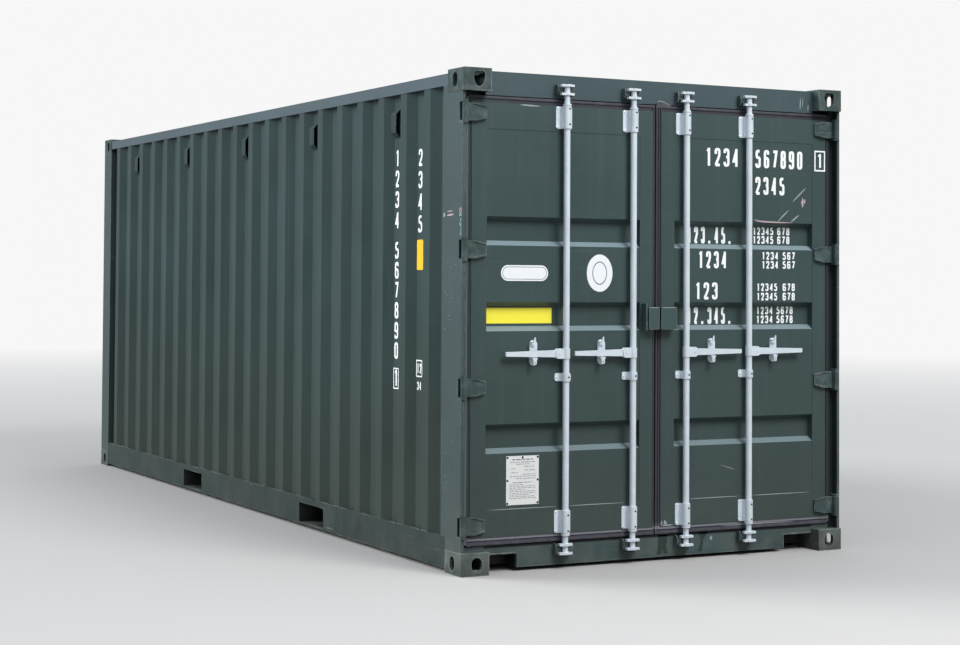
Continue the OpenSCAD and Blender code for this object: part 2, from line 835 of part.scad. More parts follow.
module door_panel() {
    low = leaf_z0 + foot_h;
    high = leaf_z1 - head_h;
    points = concat(
        [[low, 0]],
        [for (c = [rib_low, rib_mid, rib_top])
            for (p = [[-rib_open / 2, 0], [rib_slope - rib_open / 2, rib_depth],
                      [rib_open / 2 - rib_slope, rib_depth], [rib_open / 2, 0]])
                [c + p[0], p[1]]],
        [[high, 0]]
    );
    translate([0, end + panel_v]) along_x(stile_x0, stile_x1)
        polygon([for (p = sheet_outline(points)) [p[1], p[0]]]);
}
module door_panel_left() color(paint) door_panel();
module door_panel_right() color(paint) mirror([1, 0, 0]) door_panel();

// Outline of the gasket: f is 0 at its outer edge and 1 at the leaf; meet is its edge at the middle
module gasket_2d(f, meet) polygon([
    [gasket_x0 + f * gasket_side, gasket_z0 + f * gasket_foot],
    [meet + f * (leaf_x1 - meet), gasket_z0 + f * gasket_foot],
    [meet + f * (leaf_x1 - meet), gasket_z1 - f * gasket_head],
    [gasket_x0 + f * gasket_side, gasket_z1 - f * gasket_head]
]);
module gasket_ring(y0, y1, f0, f1, meet) along_y(end + y0, end + y1) difference() {
    gasket_2d(f0, meet);
    gasket_2d(f1, meet);
}
// The gasket: two front lips with a groove between them, a body, and a lip behind
module door_gasket(meet) {
    front = door_face + 4;
    rear = door_face + door_t - 2;
    gasket_ring(front, front + 8, 0, 0.4, meet);
    gasket_ring(front + 4, front + 8, 0.4, 0.6, meet);
    gasket_ring(front, front + 8, 0.6, 1, meet);
    gasket_ring(front + 8, rear - 8, 0.25, 1, meet);
    gasket_ring(rear - 8, rear, 0, 1, meet);
}
module door_gasket_left() color(rubber) door_gasket(-mid_gap - mid_shift);
module door_gasket_right() color(rubber) mirror([1, 0, 0]) door_gasket(mid_shift - mid_gap);

// Locking gear

module bracket(x, z, h, base) {
    r = bar_d / 2 + bar_gap;
    translate([x, bar_y, z - h / 2]) linear_extrude(h) difference() {
        union() {
            circle(r + bracket_t);
            translate([-r - bracket_t, 0]) square([2 * (r + bracket_t), base - bar_v]);
        }
        circle(r);
    }
    // Flange with rounded corners behind the bar
    corner = min(bracket_r, h / 2 - 2);
    difference() {
        translate([x, bar_y, z]) along_y(base - bar_v - bracket_t, base - bar_v) {
            for (sx = [0, 1], sz = [-1, 1])
                translate([sx ? bracket_right - corner : corner - bracket_left, sz * (h / 2 - corner)])
                    circle(corner);
            translate([corner - bracket_left, -h / 2])
                square([bracket_left + bracket_right - 2 * corner, h]);
            translate([-bracket_left, corner - h / 2])
                square([bracket_left + bracket_right, h - 2 * corner]);
        }
        translate([x, bar_y, z - h]) cylinder(h = 2 * h, r = r);
    }
}
module door_brackets(xs) for (x = xs) {
    bracket(x, leaf_z0 + 2 + bracket_h / 2, bracket_h, door_face);
    bracket(x, guide_z, guide_h, panel_v);
    bracket(x, leaf_z1 - 2 - bracket_h / 2, bracket_h, door_face);
}
module bar_brackets_left() color(zinc) door_brackets([-bar_out, -bar_in]);
module bar_brackets_right() color(zinc) door_brackets([bar_in, bar_out]);

// A cam flange, with its nose towards the handle and a shorter tail
module cam_flange() {
    linear_extrude(cam_t) {
        circle(23);
        polygon([[0, -20], [0, 18], [-cam_nose, 10], [-cam_nose, -14]]);
        polygon([[0, -16], [cam_tail, -14], [cam_tail, 6], [0, 16]]);
    }
}
// Two flanges on a stem; z is the outer face
module cam(z, up) translate([0, 0, z]) mirror([0, 0, up]) {
    cam_flange();
    translate([0, 0, cam_h - cam_t]) cam_flange();
    cylinder(h = leaf_z0 - cam_low, d = cam_stem);
}
// A bar with its handle pointing to -X
module locking_bar() {
    collar_low = leaf_z0 - collar_h;
    collar_high = leaf_z1;
    inner = handle_t / 2 + 0.3;
    outer = inner + cheek_t;
    difference() {
        union() {
            along_z(collar_low, collar_high + collar_h) difference() {
                circle(bar_d / 2);
                circle(bar_d / 2 - bar_wall);
            }
            for (z = [collar_low, collar_high]) along_z(z, z + collar_h) circle(collar_d / 2);
            cam(cam_low, 0);
            cam(cam_high, 1);
            along_z(handle_z - hub_h / 2, handle_z + hub_h / 2) difference() {
                circle(bar_d / 2 + 4);
                circle(bar_d / 2 - bar_wall);
            }
            for (s = [0, 1]) mirror([0, s, 0]) along_y(inner, outer) {
                translate([14 - hub_l, handle_z]) for (up = [-1, 1])
                    translate([0, up * (hub_h / 2 - 14)]) circle(14);
                translate([14 - hub_l, handle_z - hub_h / 2]) square([hub_l - 14 - bar_d / 2 + 2, hub_h]);
                translate([-hub_l, handle_z + 14 - hub_h / 2]) square([14, hub_h - 28]);
            }
        }
        translate([-handle_pin, 0, handle_z]) rotate([90, 0, 0])
            cylinder(h = 4 * handle_t, d = handle_pin_d + 2 * pin_fit, center = true);
    }
}
// Puts a left hand piece of the gear at bar n
module at_bar(n) {
    x = bars[n - 1];
    translate([x, bar_y]) mirror([x > 0 ? 1 : 0, 0, 0]) children();
}
module locking_bar_1() color(zinc) at_bar(1) locking_bar();
module locking_bar_2() color(zinc) at_bar(2) locking_bar();
module locking_bar_3() color(zinc) at_bar(3) locking_bar();
module locking_bar_4() color(zinc) at_bar(4) locking_bar();

// A handle: a tapered flat bar whose root lies between the hub plates, on its pin
module handle() {
    root = handle_root_h / 2;
    outer = handle_t / 2 + 0.3 + cheek_t + 2;
    translate([0, 0, handle_z]) {
        along_y(-handle_t / 2, handle_t / 2) {
            translate([-handle_pin, 0]) circle(root);
            polygon([
                [-handle_pin, -root], [-handle_pin, root], [-hub_l - 6, root],
                [3 - handle_l, handle_tip_h / 2], [-handle_l, handle_tip_h / 2 - 3],
                [-handle_l, 3 - handle_tip_h / 2], [3 - handle_l, -handle_tip_h / 2], [-hub_l - 6, -root]
            ]);
        }
        translate([-handle_pin, 0, 0]) rotate([90, 0, 0])
            cylinder(h = 2 * outer, d = handle_pin_d, center = true);
    }
}
module handle_1() color(zinc) at_bar(1) handle();
module handle_2() color(zinc) at_bar(2) handle();
module handle_3() color(zinc) at_bar(3) handle();
module handle_4() color(zinc) at_bar(4) handle();

// -1 or 1: the way to the container's left in the gear of bar n
function to_left(n) = bars[n - 1] > 0 ? 1 : -1;
// A retainer: plate on the door, shelf under the handle with an eye below it, and the catch's post
function handle_half(x) =
    (handle_root_h + (handle_tip_h - handle_root_h) * (x - hub_l - 6) / (handle_l - hub_l - 9)) / 2;
module retainer(to_left) {
    back = panel_v - bar_v;
    plate = back - retainer_t;
    shelf_half = 15;
    shelf = -handle_half(retainer_x - to_left * shelf_left - shelf_half) - shelf_gap;
    shelf_t = 8;
    front = -12;
    translate([-retainer_x, 0, handle_z]) {
        along_y(plate, back) translate([0, catch_up + retainer_w / 2 - retainer_h / 2])
            slot_2d(retainer_w, retainer_h);
        translate([to_left * shelf_left, 0, shelf]) {
            block([-shelf_half, front, -shelf_t], [shelf_half, plate, 0]);
            along_y(front, front + 6) difference() {
                translate([0, -shelf_t]) slot_2d(20, 56);
                translate([-20, 0]) square([40, 60]);
                translate([0, -shelf_t - 16]) circle(5);
            }
        }
        translate([0, plate, catch_up]) rotate([90, 0, 0]) cylinder(h = catch_t + 5, d = 13);
    }
}
module retainers(ns) for (n = ns) at_bar(n) retainer(to_left(n));
module handle_retainers_left() color(zinc) retainers([1, 2]);
module handle_retainers_right() color(zinc) retainers([3, 4]);

// A catch: hub on the retainer's pin, an arm leaning left, a step forward and a lip that can turn down in
// front of the handle
module catch(to_left) {
    back = panel_v - bar_v - retainer_t - 0.3;
    front = -17;
    hub = 13;
    near = 11;
    far = 23;
    translate([-retainer_x, 0, handle_z + catch_up]) mirror([to_left > 0 ? 1 : 0, 0, 0]) {
        along_y(back - catch_t, back) difference() {
            union() {
                circle(hub);
                polygon([
                    [0, -hub + 1], [0, hub], [-near, catch_step], [-far, catch_step],
                    [-far, catch_step - catch_t], [-near, -7]
                ]);
            }
            circle(13 / 2 + pin_fit);
        }
        block([-far, front, catch_step - catch_t], [-near, back, catch_step]);
        along_y(front, front + catch_t) polygon([
            [-far, catch_step - catch_t], [-near, catch_step - catch_t], [1 - near, catch_l - 18],
            [2 - near, catch_l - 6], [-near - 3, catch_l], [3 - far, catch_l - 14]
        ]);
    }
}
module handle_catch_1() color(zinc) at_bar(1) catch(to_left(1));
module handle_catch_2() color(zinc) at_bar(2) catch(to_left(2));
module handle_catch_3() color(zinc) at_bar(3) catch(to_left(3));
module handle_catch_4() color(zinc) at_bar(4) catch(to_left(4));

// A keeper: a forked plate between the cam flanges, on two side plates; z is the cam's outer face
module keeper(x, z, up) {
    face = cross_face - bar_v;
    low = keeper_in;
    high = cam_h - keeper_in;
    wide = cam_nose + keeper_gap + keeper_t;
    translate([x, bar_y, z]) mirror([0, 0, up]) mirror([x > 0 ? 1 : 0, 0, 0]) {
        along_z(low, high) difference() {
            translate([-wide, keeper_reach]) square([2 * wide, face - keeper_reach]);
            translate([-stem_gap, 0]) square([2 * stem_gap, stem_gap]);
        }
        for (s = [0, 1]) mirror([s, 0, 0]) along_x(wide - keeper_t, wide) {
            reach = keeper_reach + 2;
            translate([reach + 10, 10]) circle(10);
            translate([reach + 10, cam_h - 10]) circle(10);
            translate([reach, 10]) square([face - reach, cam_h - 20]);
            translate([reach + 10, 0]) square([face - reach - 10, cam_h]);
        }
    }
}
module cam_keepers() color(paint) for (x = bars) {
    keeper(x, cam_low, 0);
    keeper(x, cam_high, 1);
}

// Lock box: one half on each door, each with an eye for the padlock

module lock_eye(x) along_x(x, x + 5) translate([end, box_z + 35]) difference() {
    translate([box_front + 15, 0]) square([door_face - box_front - 15, 55]);
    translate([box_front + 29, 28]) circle(8);
}
module box_half(x0, x1) {
    back = door_face;
    block([x0, end + box_front, box_z], [x1, end + box_front + box_t, box_z + box_h]);
    block([x0, end + box_front, box_z + box_h - box_t], [x1, end + back, box_z + box_h]);
}
module lock_plate_left() color(paint) {
    near = leaf_x1 - 2;
    edge = -mid_gap - 2 - mid_shift;
    back = door_face;
    box_half(-box_plate_x + box_plate_t + 11, edge);
    block([-box_plate_x, end + box_front, box_z - 5],
          [box_plate_t - box_plate_x, end + back, box_z + box_h + 20]);
    block([-box_plate_x, end + back - box_t, box_z - 5], [near, end + back, box_z + box_h]);
    lock_eye(-27);
}
module lock_box_right() color(paint) {
    edge = mid_gap + 2 - mid_shift;
    far = edge + box_w;
    box_half(edge, far);
    block([far - box_t, end + box_front, box_z], [far, end + door_face, box_z + box_h]);
    lock_eye(22);
}

module data_plate() color(pale)
    block([stile_x0 + plate_in, end + panel_v - plate_t, plate_z - plate_h / 2],
          [stile_x0 + plate_in + plate_w, end + panel_v, plate_z + plate_h / 2]);

bottom_castings();
top_castings();
door_posts();
front_posts();
door_header();
door_sill();
front_rails();
top_rails();
bottom_rails();
side_wall_left();
side_wall_right();
front_wall();
roof();
cross_members();
fork_pockets();
floor_boards();
vents();
hinge_lugs();
cam_keepers();
door_frame_left();
door_panel_left();
door_gasket_left();
door_hinges_left();
bar_brackets_left();
handle_retainers_left();
lock_plate_left();
data_plate();
door_frame_right();
door_panel_right();
door_gasket_right();
door_hinges_right();
bar_brackets_right();
handle_retainers_right();
lock_box_right();
locking_bar_1();
locking_bar_2();
locking_bar_3();
locking_bar_4();
handle_1();
handle_2();
handle_3();
handle_4();
handle_catch_1();
handle_catch_2();
handle_catch_3();
handle_catch_4();
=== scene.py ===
import math
import random

import bmesh
import bpy
from mathutils import Matrix, Vector


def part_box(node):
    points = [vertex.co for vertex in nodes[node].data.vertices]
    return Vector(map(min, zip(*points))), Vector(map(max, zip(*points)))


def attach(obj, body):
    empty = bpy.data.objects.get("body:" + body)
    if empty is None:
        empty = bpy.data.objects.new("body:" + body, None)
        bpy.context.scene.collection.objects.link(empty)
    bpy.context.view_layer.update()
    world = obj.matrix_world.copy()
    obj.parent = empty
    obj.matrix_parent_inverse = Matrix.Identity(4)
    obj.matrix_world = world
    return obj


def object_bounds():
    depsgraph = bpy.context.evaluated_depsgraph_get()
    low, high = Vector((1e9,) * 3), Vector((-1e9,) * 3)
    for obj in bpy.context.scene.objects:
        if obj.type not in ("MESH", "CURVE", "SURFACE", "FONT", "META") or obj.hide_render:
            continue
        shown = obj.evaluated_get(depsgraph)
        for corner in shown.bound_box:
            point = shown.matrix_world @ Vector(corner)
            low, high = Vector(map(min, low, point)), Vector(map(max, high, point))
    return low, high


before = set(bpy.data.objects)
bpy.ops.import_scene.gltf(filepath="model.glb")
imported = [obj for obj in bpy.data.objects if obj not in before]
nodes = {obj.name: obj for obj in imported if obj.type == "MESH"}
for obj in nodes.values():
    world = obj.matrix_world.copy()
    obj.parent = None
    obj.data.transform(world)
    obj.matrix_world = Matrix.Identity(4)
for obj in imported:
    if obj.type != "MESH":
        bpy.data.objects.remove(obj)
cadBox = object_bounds()
print("frame loaded", len(nodes), "nodes")

doorEnd = cadBox[0][1]       # y of the door end
closedEnd = cadBox[1][1]
halfWidth = cadBox[1][0]
scene = bpy.context.scene
scene.view_settings.view_transform = "Standard"
materials = {}   # made below, by name


def srgb(r, g, b):
    # 0 to 255 as on a colour card, to the linear values that a socket takes
    def one(c):
        c /= 255
        return c / 12.92 if c <= 0.04045 else ((c + 0.055) / 1.055) ** 2.4
    return (one(r), one(g), one(b), 1)


# Small helpers for node trees


def addNode(tree, kind, **values):
    node = tree.nodes.new(kind)
    for name, value in values.items():
        setattr(node, name, value)
    return node


def link(tree, source, target):
    tree.links.new(source, target)


def feed(tree, target, value):
    # A number or colour is set on the socket, an output is linked to it
    if isinstance(value, (int, float, tuple)):
        target.default_value = value
    else:
        link(tree, value, target)


def setInputs(tree, node, **values):
    for name, value in values.items():
        feed(tree, node.inputs[name.replace("_", " ")], value)


def mathNode(tree, operation, a, b, clamp=False):
    node = addNode(tree, "ShaderNodeMath", operation=operation, use_clamp=clamp)
    feed(tree, node.inputs[0], a)
    feed(tree, node.inputs[1], b)
    return node.outputs[0]


def times(tree, a, b, clamp=False):
    return mathNode(tree, "MULTIPLY", a, b, clamp)


def minus(tree, a, b):
    return mathNode(tree, "SUBTRACT", a, b)


def mixColour(tree, factor, a, b):
    node = addNode(tree, "ShaderNodeMix", data_type="RGBA")
    for index, value in ((0, factor), (6, a), (7, b)):
        feed(tree, node.inputs[index], value)
    return node.outputs[2]


def mixShaders(tree, factor, a, b):
    node = addNode(tree, "ShaderNodeMixShader")
    for socket, value in zip(node.inputs, (factor, a, b)):
        feed(tree, socket, value)
    return node.outputs[0]


def ramp(tree, source, low, high, toLow=0.0, toHigh=1.0):
    node = addNode(tree, "ShaderNodeMapRange", clamp=True)
    setInputs(tree, node, Value=source, From_Min=low, From_Max=high, To_Min=toLow, To_Max=toHigh)
    return node.outputs["Result"]


def objectPlace(tree):
    return addNode(tree, "ShaderNodeTexCoord").outputs["Object"]


def axes(tree, vector):
    # x, y and z of a vector
    node = addNode(tree, "ShaderNodeSeparateXYZ")
    link(tree, vector, node.inputs[0])
    return node.outputs


def noiseOn(tree, vector, **values):
    node = addNode(tree, "ShaderNodeTexNoise")
    setInputs(tree, node, Vector=vector, **values)
    return node.outputs["Fac"]


def stretched(tree, vector, scale, turn=(0.0, 0.0, 0.0)):
    node = addNode(tree, "ShaderNodeMapping")
    setInputs(tree, node, Vector=vector, Scale=scale, Rotation=turn)
    return node.outputs[0]


def addBump(tree, shader, height, strength, distance):
    node = addNode(tree, "ShaderNodeBump")
    setInputs(tree, node, Strength=strength, Distance=distance, Height=height)
    link(tree, node.outputs[0], shader.inputs["Normal"])


def newGroup(name, inputs, outputs):
    # inputs: name -> default number
    group = bpy.data.node_groups.new(name, "ShaderNodeTree")
    kind = "NodeSocketFloat"
    for label, value in inputs.items():
        group.interface.new_socket(label, in_out="INPUT", socket_type=kind).default_value = value
    for label in outputs:
        group.interface.new_socket(label, in_out="OUTPUT", socket_type=kind)
    given = addNode(group, "NodeGroupInput").outputs
    result = addNode(group, "NodeGroupOutput").inputs
    return group, given, result


def placeGroup(tree, group, **values):
    node = addNode(tree, "ShaderNodeGroup", node_tree=group)
    setInputs(tree, node, **values)
    return node.outputs


def newMaterial(name):
    material = bpy.data.materials.new(name)
    material.use_nodes = True
    materials[name] = material
    return material.node_tree, material.node_tree.nodes["Principled BSDF"]


# Shared effects


def makeEdgeGroup():
    # Mask of convex and concave edges, broken up by noise
    group, given, result = newGroup("edgeWear", {"Radius": 0.004, "Noise Scale": 40.0, "Amount": 0.5}, ["Mask"])
    rounded = addNode(group, "ShaderNodeBevel", samples=4)
    link(group, given["Radius"], rounded.inputs["Radius"])
    geometry = addNode(group, "ShaderNodeNewGeometry")
    dot = addNode(group, "ShaderNodeVectorMath", operation="DOT_PRODUCT")
    link(group, rounded.outputs[0], dot.inputs[0])
    link(group, geometry.outputs["Normal"], dot.inputs[1])
    edge = ramp(group, minus(group, 1.0, dot.outputs["Value"]), 0.01, 0.12)
    place = objectPlace(group)
    noise = noiseOn(group, place, Scale=given["Noise Scale"], Detail=6.0, Roughness=0.7)
    level = times(group, minus(group, 1.0, given["Amount"]), 0.75)
    broken = ramp(group, minus(group, noise, level), 0.0, 0.12)
    gathered = ramp(group, noiseOn(group, place, Scale=5.5, Detail=3.0), 0.40, 0.60)
    link(group, times(group, edge, times(group, broken, gathered), True), result["Mask"])
    return group


def makeSoilGroup():
    # Dust that gathers low down and rain streaks that run down
    group, given, result = newGroup("soil", {"Low": 0.0, "High": 0.6, "Streaks": 0.3}, ["Dust", "Streak"])
    place = objectPlace(group)
    fall = ramp(group, axes(group, place)["Z"], given["High"], given["Low"])
    patch = noiseOn(group, place, Scale=6.0, Detail=8.0, Roughness=0.65)
    link(group, times(group, fall, ramp(group, patch, 0.35, 0.7)), result["Dust"])
    lines = noiseOn(group, stretched(group, place, (26.0, 26.0, 0.9)), Scale=1.0, Detail=5.0, Roughness=0.6)
    link(group, times(group, ramp(group, lines, 0.52, 0.78), given["Streaks"]), result["Streak"])
    return group


def makeCoatGroup():
    # Height and tone of sprayed paint: orange peel and the waves of rolled sheet
    group, given, result = newGroup("sprayedCoat", {"Peel": 0.35, "Waviness": 0.5}, ["Height", "Tone"])
    place = objectPlace(group)
    peel = noiseOn(group, place, Scale=420.0, Detail=2.0, Roughness=0.5)
    wave = noiseOn(group, place, Scale=3.2, Detail=2.0, Roughness=0.45)
    tone = noiseOn(group, place, Scale=1.3, Detail=6.0, Roughness=0.6)
    a = times(group, peel, times(group, given["Peel"], 0.05))
    b = times(group, wave, given["Waviness"])
    link(group, mathNode(group, "ADD", a, b), result["Height"])
    link(group, tone, result["Tone"])
    return group


def makeScuffGroup():
    # Short thin scratches in two directions, gathered in patches
    group, given, result = newGroup("scuffs", {"Scale": 3.0, "Amount": 0.5}, ["Mask"])
    place = objectPlace(group)
    masks = []
    for turn, level in (((0.3, 0.45, 0.2), 0.70), ((0.2, -1.1, 0.5), 0.72)):
        across = stretched(group, place, (1.0, 1.4, 46.0), turn)
        lines = noiseOn(group, across, Scale=given["Scale"], Detail=2.0, Roughness=0.4)
        masks.append(ramp(group, lines, level, level + 0.06))
    where = ramp(group, noiseOn(group, place, Scale=2.2, Detail=3.0), 0.48, 0.66)
    both = times(group, mathNode(group, "MAXIMUM", *masks), where)
    link(group, times(group, both, given["Amount"]), result["Mask"])
    return group


def makeHollowGroup():
    # Mask of hollows and undercuts, where grime and shadow gather
    group, given, result = newGroup("hollows", {"Distance": 0.1}, ["Mask"])
    openness = addNode(group, "ShaderNodeAmbientOcclusion", samples=4)
    link(group, given["Distance"], openness.inputs["Distance"])
    link(group, ramp(group, openness.outputs["AO"], 0.08, 0.50, 1.0, 0.0), result["Mask"])
    return group


def makeLedgeGroup():
    # Mask of slopes that face up, for a painted sky reflection on them
    group, given, result = newGroup("ledges", {"Amount": 0.5}, ["Mask"])
    normal = addNode(group, "ShaderNodeNewGeometry").outputs["Normal"]
    slope = ramp(group, axes(group, normal)["Z"], 0.30, 0.65)
    link(group, times(group, slope, given["Amount"]), result["Mask"])
    return group


edgeGroup = makeEdgeGroup()
hollowGroup = makeHollowGroup()
ledgeGroup = makeLedgeGroup()
soilGroup = makeSoilGroup()
coatGroup = makeCoatGroup()
scuffGroup = makeScuffGroup()

# Paint of the shell and the doors

paintLook = {
    "base": srgb(56, 74, 75),
    "deep": srgb(46, 63, 62),
    "dust": srgb(122, 120, 112),
    "bare": srgb(158, 162, 158),
    "chalk": srgb(118, 132, 132),
    # painted sky reflection on slopes that face up
    "ledgeSheen": srgb(132, 150, 156),
    # near-black: painted shade on steel set back from the door end, and in hollows together with grime
    "shadeAndGrime": srgb(14, 18, 18),
    "olive": srgb(50, 60, 52),
    "rust": srgb(112, 70, 44),
}
# behind: distance from the door end past which painted shade darkens the steel
# behindTo: how far out on the right side that painted shade reaches, where only that side is darkened
paints = {
    "shellPaint": dict(wear=0.3, dust=0.35, scuff=0.12, olive=0.75),
    "ventPaint": dict(wear=0.4, dust=0.1, base=srgb(50, 65, 68), deep=srgb(42, 55, 57), scuff=0.1, hollow=0.5),
    # top rails: lighter and bluer than the shell paint, a painted sky reflection at grazing
    "topRailPaint": dict(wear=0.2, dust=0.2, base=srgb(82, 96, 103), deep=srgb(75, 88, 95), scuff=0.2),
    "roofPaint": dict(wear=0.08, dust=0.3, deep=srgb(48, 65, 65), edge=0.002, scuff=0.15),
    "postPaint": dict(wear=0.45, dust=0.4, base=srgb(70, 85, 87), deep=srgb(61, 75, 77), edge=0.006,
                      scuff=0.5, olive=0.3, behind=0.020, behindTo=1.206),
    "doorPaint": dict(wear=0.3, dust=0.15, base=srgb(59, 78, 78), deep=srgb(52, 70, 69), scuff=0.1,
                      ledgeSheen=0.7, olive=0.4),
    "headerPaint": dict(wear=0.3, dust=0.15, base=srgb(65, 83, 87), deep=srgb(58, 75, 79), scuff=0.15),
    "lockPaint": dict(wear=0.5, dust=0.15, base=srgb(64, 84, 84), deep=srgb(57, 76, 75)),
    "castingPaint": dict(wear=0.72, rust=0.5, dust=0.5, base=srgb(56, 73, 73), deep=srgb(45, 60, 58),
                         edge=0.010, scuff=0.6, worn=0.35, hollow=0.95),
    "sillPaint": dict(wear=0.5, rust=0.1, dust=0.3, base=srgb(62, 81, 82), deep=srgb(52, 70, 69), edge=0.006,
                      scuff=0.5, hollow=0.85, behind=0.078),
    "railPaint": dict(wear=0.5, rust=0.1, dust=0.15, base=srgb(46, 60, 59), deep=srgb(39, 51, 50), edge=0.006,
                      scuff=0.5, hollow=0.5),
    "underPaint": dict(wear=0.2, rust=0.2, dust=0.4, base=srgb(34, 44, 44), deep=srgb(28, 36, 36), hollow=0.8),
    "hardwarePaint": dict(wear=0.55, dust=0.2, base=srgb(60, 78, 78), edge=0.005, scuff=0.4, worn=0.35,
                          hollow=0.6),
    "sealPaint": dict(wear=0.3, dust=0.3, base=srgb(84, 101, 103), deep=srgb(75, 91, 93)),
}


def paintMaterial(name, wear, dust, base=paintLook["base"], deep=paintLook["deep"], edge=0.004, scuff=0.3,
                  rust=0.0, worn=0.0, hollow=0.0, ledgeSheen=0.0, behind=None, behindTo=None, olive=0.0):
    tree, shader = newMaterial(name)
    place = objectPlace(tree)
    x, y, z = axes(tree, place)
    coat = placeGroup(tree, coatGroup, Peel=0.35, Waviness=0.5)
    soil = placeGroup(tree, soilGroup, Low=0.0, High=0.55, Streaks=0.25)
    edges = placeGroup(tree, edgeGroup, Radius=edge, Noise_Scale=38.0, Amount=wear)
    scuffs = placeGroup(tree, scuffGroup, Scale=2.6, Amount=scuff)
    layers = [("dust", times(tree, soil["Streak"], 0.35)), ("dust", times(tree, soil["Dust"], dust)),
              ("bare", scuffs["Mask"]), ("bare", times(tree, edges["Mask"], 0.75))]
    if worn:
        chalky = noiseOn(tree, place, Scale=17.0, Detail=7.0, Roughness=0.62)
        layers.append(("chalk", times(tree, ramp(tree, chalky, 0.47, 0.68), worn)))
    if rust:
        spots = noiseOn(tree, place, Scale=22.0, Detail=9.0, Roughness=0.72)
        layers.append(("rust", ramp(tree, spots, 0.66 - 0.12 * rust, 0.74 - 0.1 * rust)))
    # painted sky reflection on the slopes that face up
    if ledgeSheen:
        layers.append(("ledgeSheen", placeGroup(tree, ledgeGroup, Amount=ledgeSheen)["Mask"]))
    if olive:
        # the lower half has gone a little browner
        layers.append(("olive", ramp(tree, z, 0.2, 1.5, olive, 0.0)))
    # painted shade on steel set back past that distance from the door end, such as the right post's step and
    # the inside of the sill's cut
    if behind is not None:
        dark = ramp(tree, y, doorEnd + behind, doorEnd + behind + 0.012, 0.0, 0.85)
        if behindTo is not None:
            dark = times(tree, dark, ramp(tree, x, 0.0, 0.1))
            dark = times(tree, dark, ramp(tree, x, behindTo, behindTo + 0.005, 1.0, 0.0))
        layers.append(("shadeAndGrime", dark))
    # painted shade in hollows and undercuts, together with grime, from the occlusion mask
    if hollow:
        layers.append(("shadeAndGrime", times(tree, placeGroup(tree, hollowGroup, Distance=0.11)["Mask"], hollow)))
    colour = mixColour(tree, ramp(tree, coat["Tone"], 0.3, 0.7), deep, base)
    for tint, mask in layers:
        colour = mixColour(tree, mask, colour, paintLook[tint])
    gloss = ramp(tree, coat["Tone"], 0.3, 0.7, 0.36, 0.46)
    rough = mathNode(tree, "ADD", gloss, times(tree, soil["Dust"], 0.35), True)
    setInputs(tree, shader, Base_Color=colour, Roughness=rough)
    addBump(tree, shader, coat["Height"], 0.35, 0.004)


def zincMaterial():
    # Hot dip galvanised steel: spangle, dull patches and a little rust
    tree, shader = newMaterial("galvanisedSteel")
    place = objectPlace(tree)
    spangle = addNode(tree, "ShaderNodeTexVoronoi")
    setInputs(tree, spangle, Scale=90.0, Vector=place)
    dull = noiseOn(tree, place, Scale=14.0, Detail=6.0, Roughness=0.6)
    spots = noiseOn(tree, place, Scale=55.0, Detail=8.0, Roughness=0.7)
    bright = mathNode(tree, "ADD", times(tree, spangle.outputs["Color"], 0.2), dull)
    colour = mixColour(tree, ramp(tree, bright, 0.2, 1.0), srgb(208, 219, 227), srgb(232, 241, 248))
    colour = mixColour(tree, ramp(tree, spots, 0.69, 0.77), colour, srgb(140, 104, 78))
    shader.inputs["Metallic"].default_value = 0.25
    setInputs(tree, shader, Base_Color=colour, Roughness=ramp(tree, dull, 0.3, 0.7, 0.40, 0.48))
    addBump(tree, shader, dull, 0.15, 0.001)


def rubberMaterial():
    # Black seal: a painted highlight along the lip of its foot and painted shadow under the foot, painted shade
    # on its uprights, deepest on the right outer one, the left one sprayed over
    tree, shader = newMaterial("gasketRubber")
    place = objectPlace(tree)
    x, y, z = axes(tree, place)
    mottled = noiseOn(tree, place, Scale=30.0, Detail=8.0, Roughness=0.7)
    colour = mixColour(tree, ramp(tree, mottled, 0.35, 0.7), srgb(56, 55, 64), srgb(84, 83, 94))
    # footLip: painted highlight along the lip of the foot; footShadow: painted shadow under the foot
    footLip = minus(tree, ramp(tree, z, 0.169, 0.172), ramp(tree, z, 0.187, 0.189))
    footShadow = minus(tree, 1.0, ramp(tree, z, 0.148, 0.151))
    # uprights darkened as painted shade, most at the right outer upright
    upright = minus(tree, ramp(tree, z, 0.200, 0.212), ramp(tree, z, 2.438, 2.450))
    outer = ramp(tree, x, 0.9, 0.95, 0.66, 0.9)
    sprayed = ramp(tree, x, -0.95, -0.9, 0.9, 0.0)
    for mask, tint in ((times(tree, upright, outer), srgb(34, 36, 42)),
                       (times(tree, upright, sprayed), srgb(50, 61, 62)),
                       (times(tree, footLip, 0.7), srgb(138, 138, 146)),
                       (times(tree, footShadow, 0.35), srgb(34, 34, 38))):
        colour = mixColour(tree, mask, colour, tint)
    setInputs(tree, shader, Base_Color=colour, Roughness=ramp(tree, mottled, 0.3, 0.7, 0.55, 0.8))
    addBump(tree, shader, mottled, 0.3, 0.002)


def plywoodMaterial():
    tree, shader = newMaterial("floorPlywood")
    along = stretched(tree, objectPlace(tree), (1.2, 22.0, 22.0))
    grain = noiseOn(tree, along, Scale=2.0, Detail=10.0, Roughness=0.65, Distortion=0.6)
    colour = mixColour(tree, ramp(tree, grain, 0.3, 0.7), srgb(112, 80, 52), srgb(164, 124, 84))
    setInputs(tree, shader, Base_Color=colour, Roughness=ramp(tree, grain, 0.3, 0.7, 0.5, 0.68))
    addBump(tree, shader, grain, 0.25, 0.002)


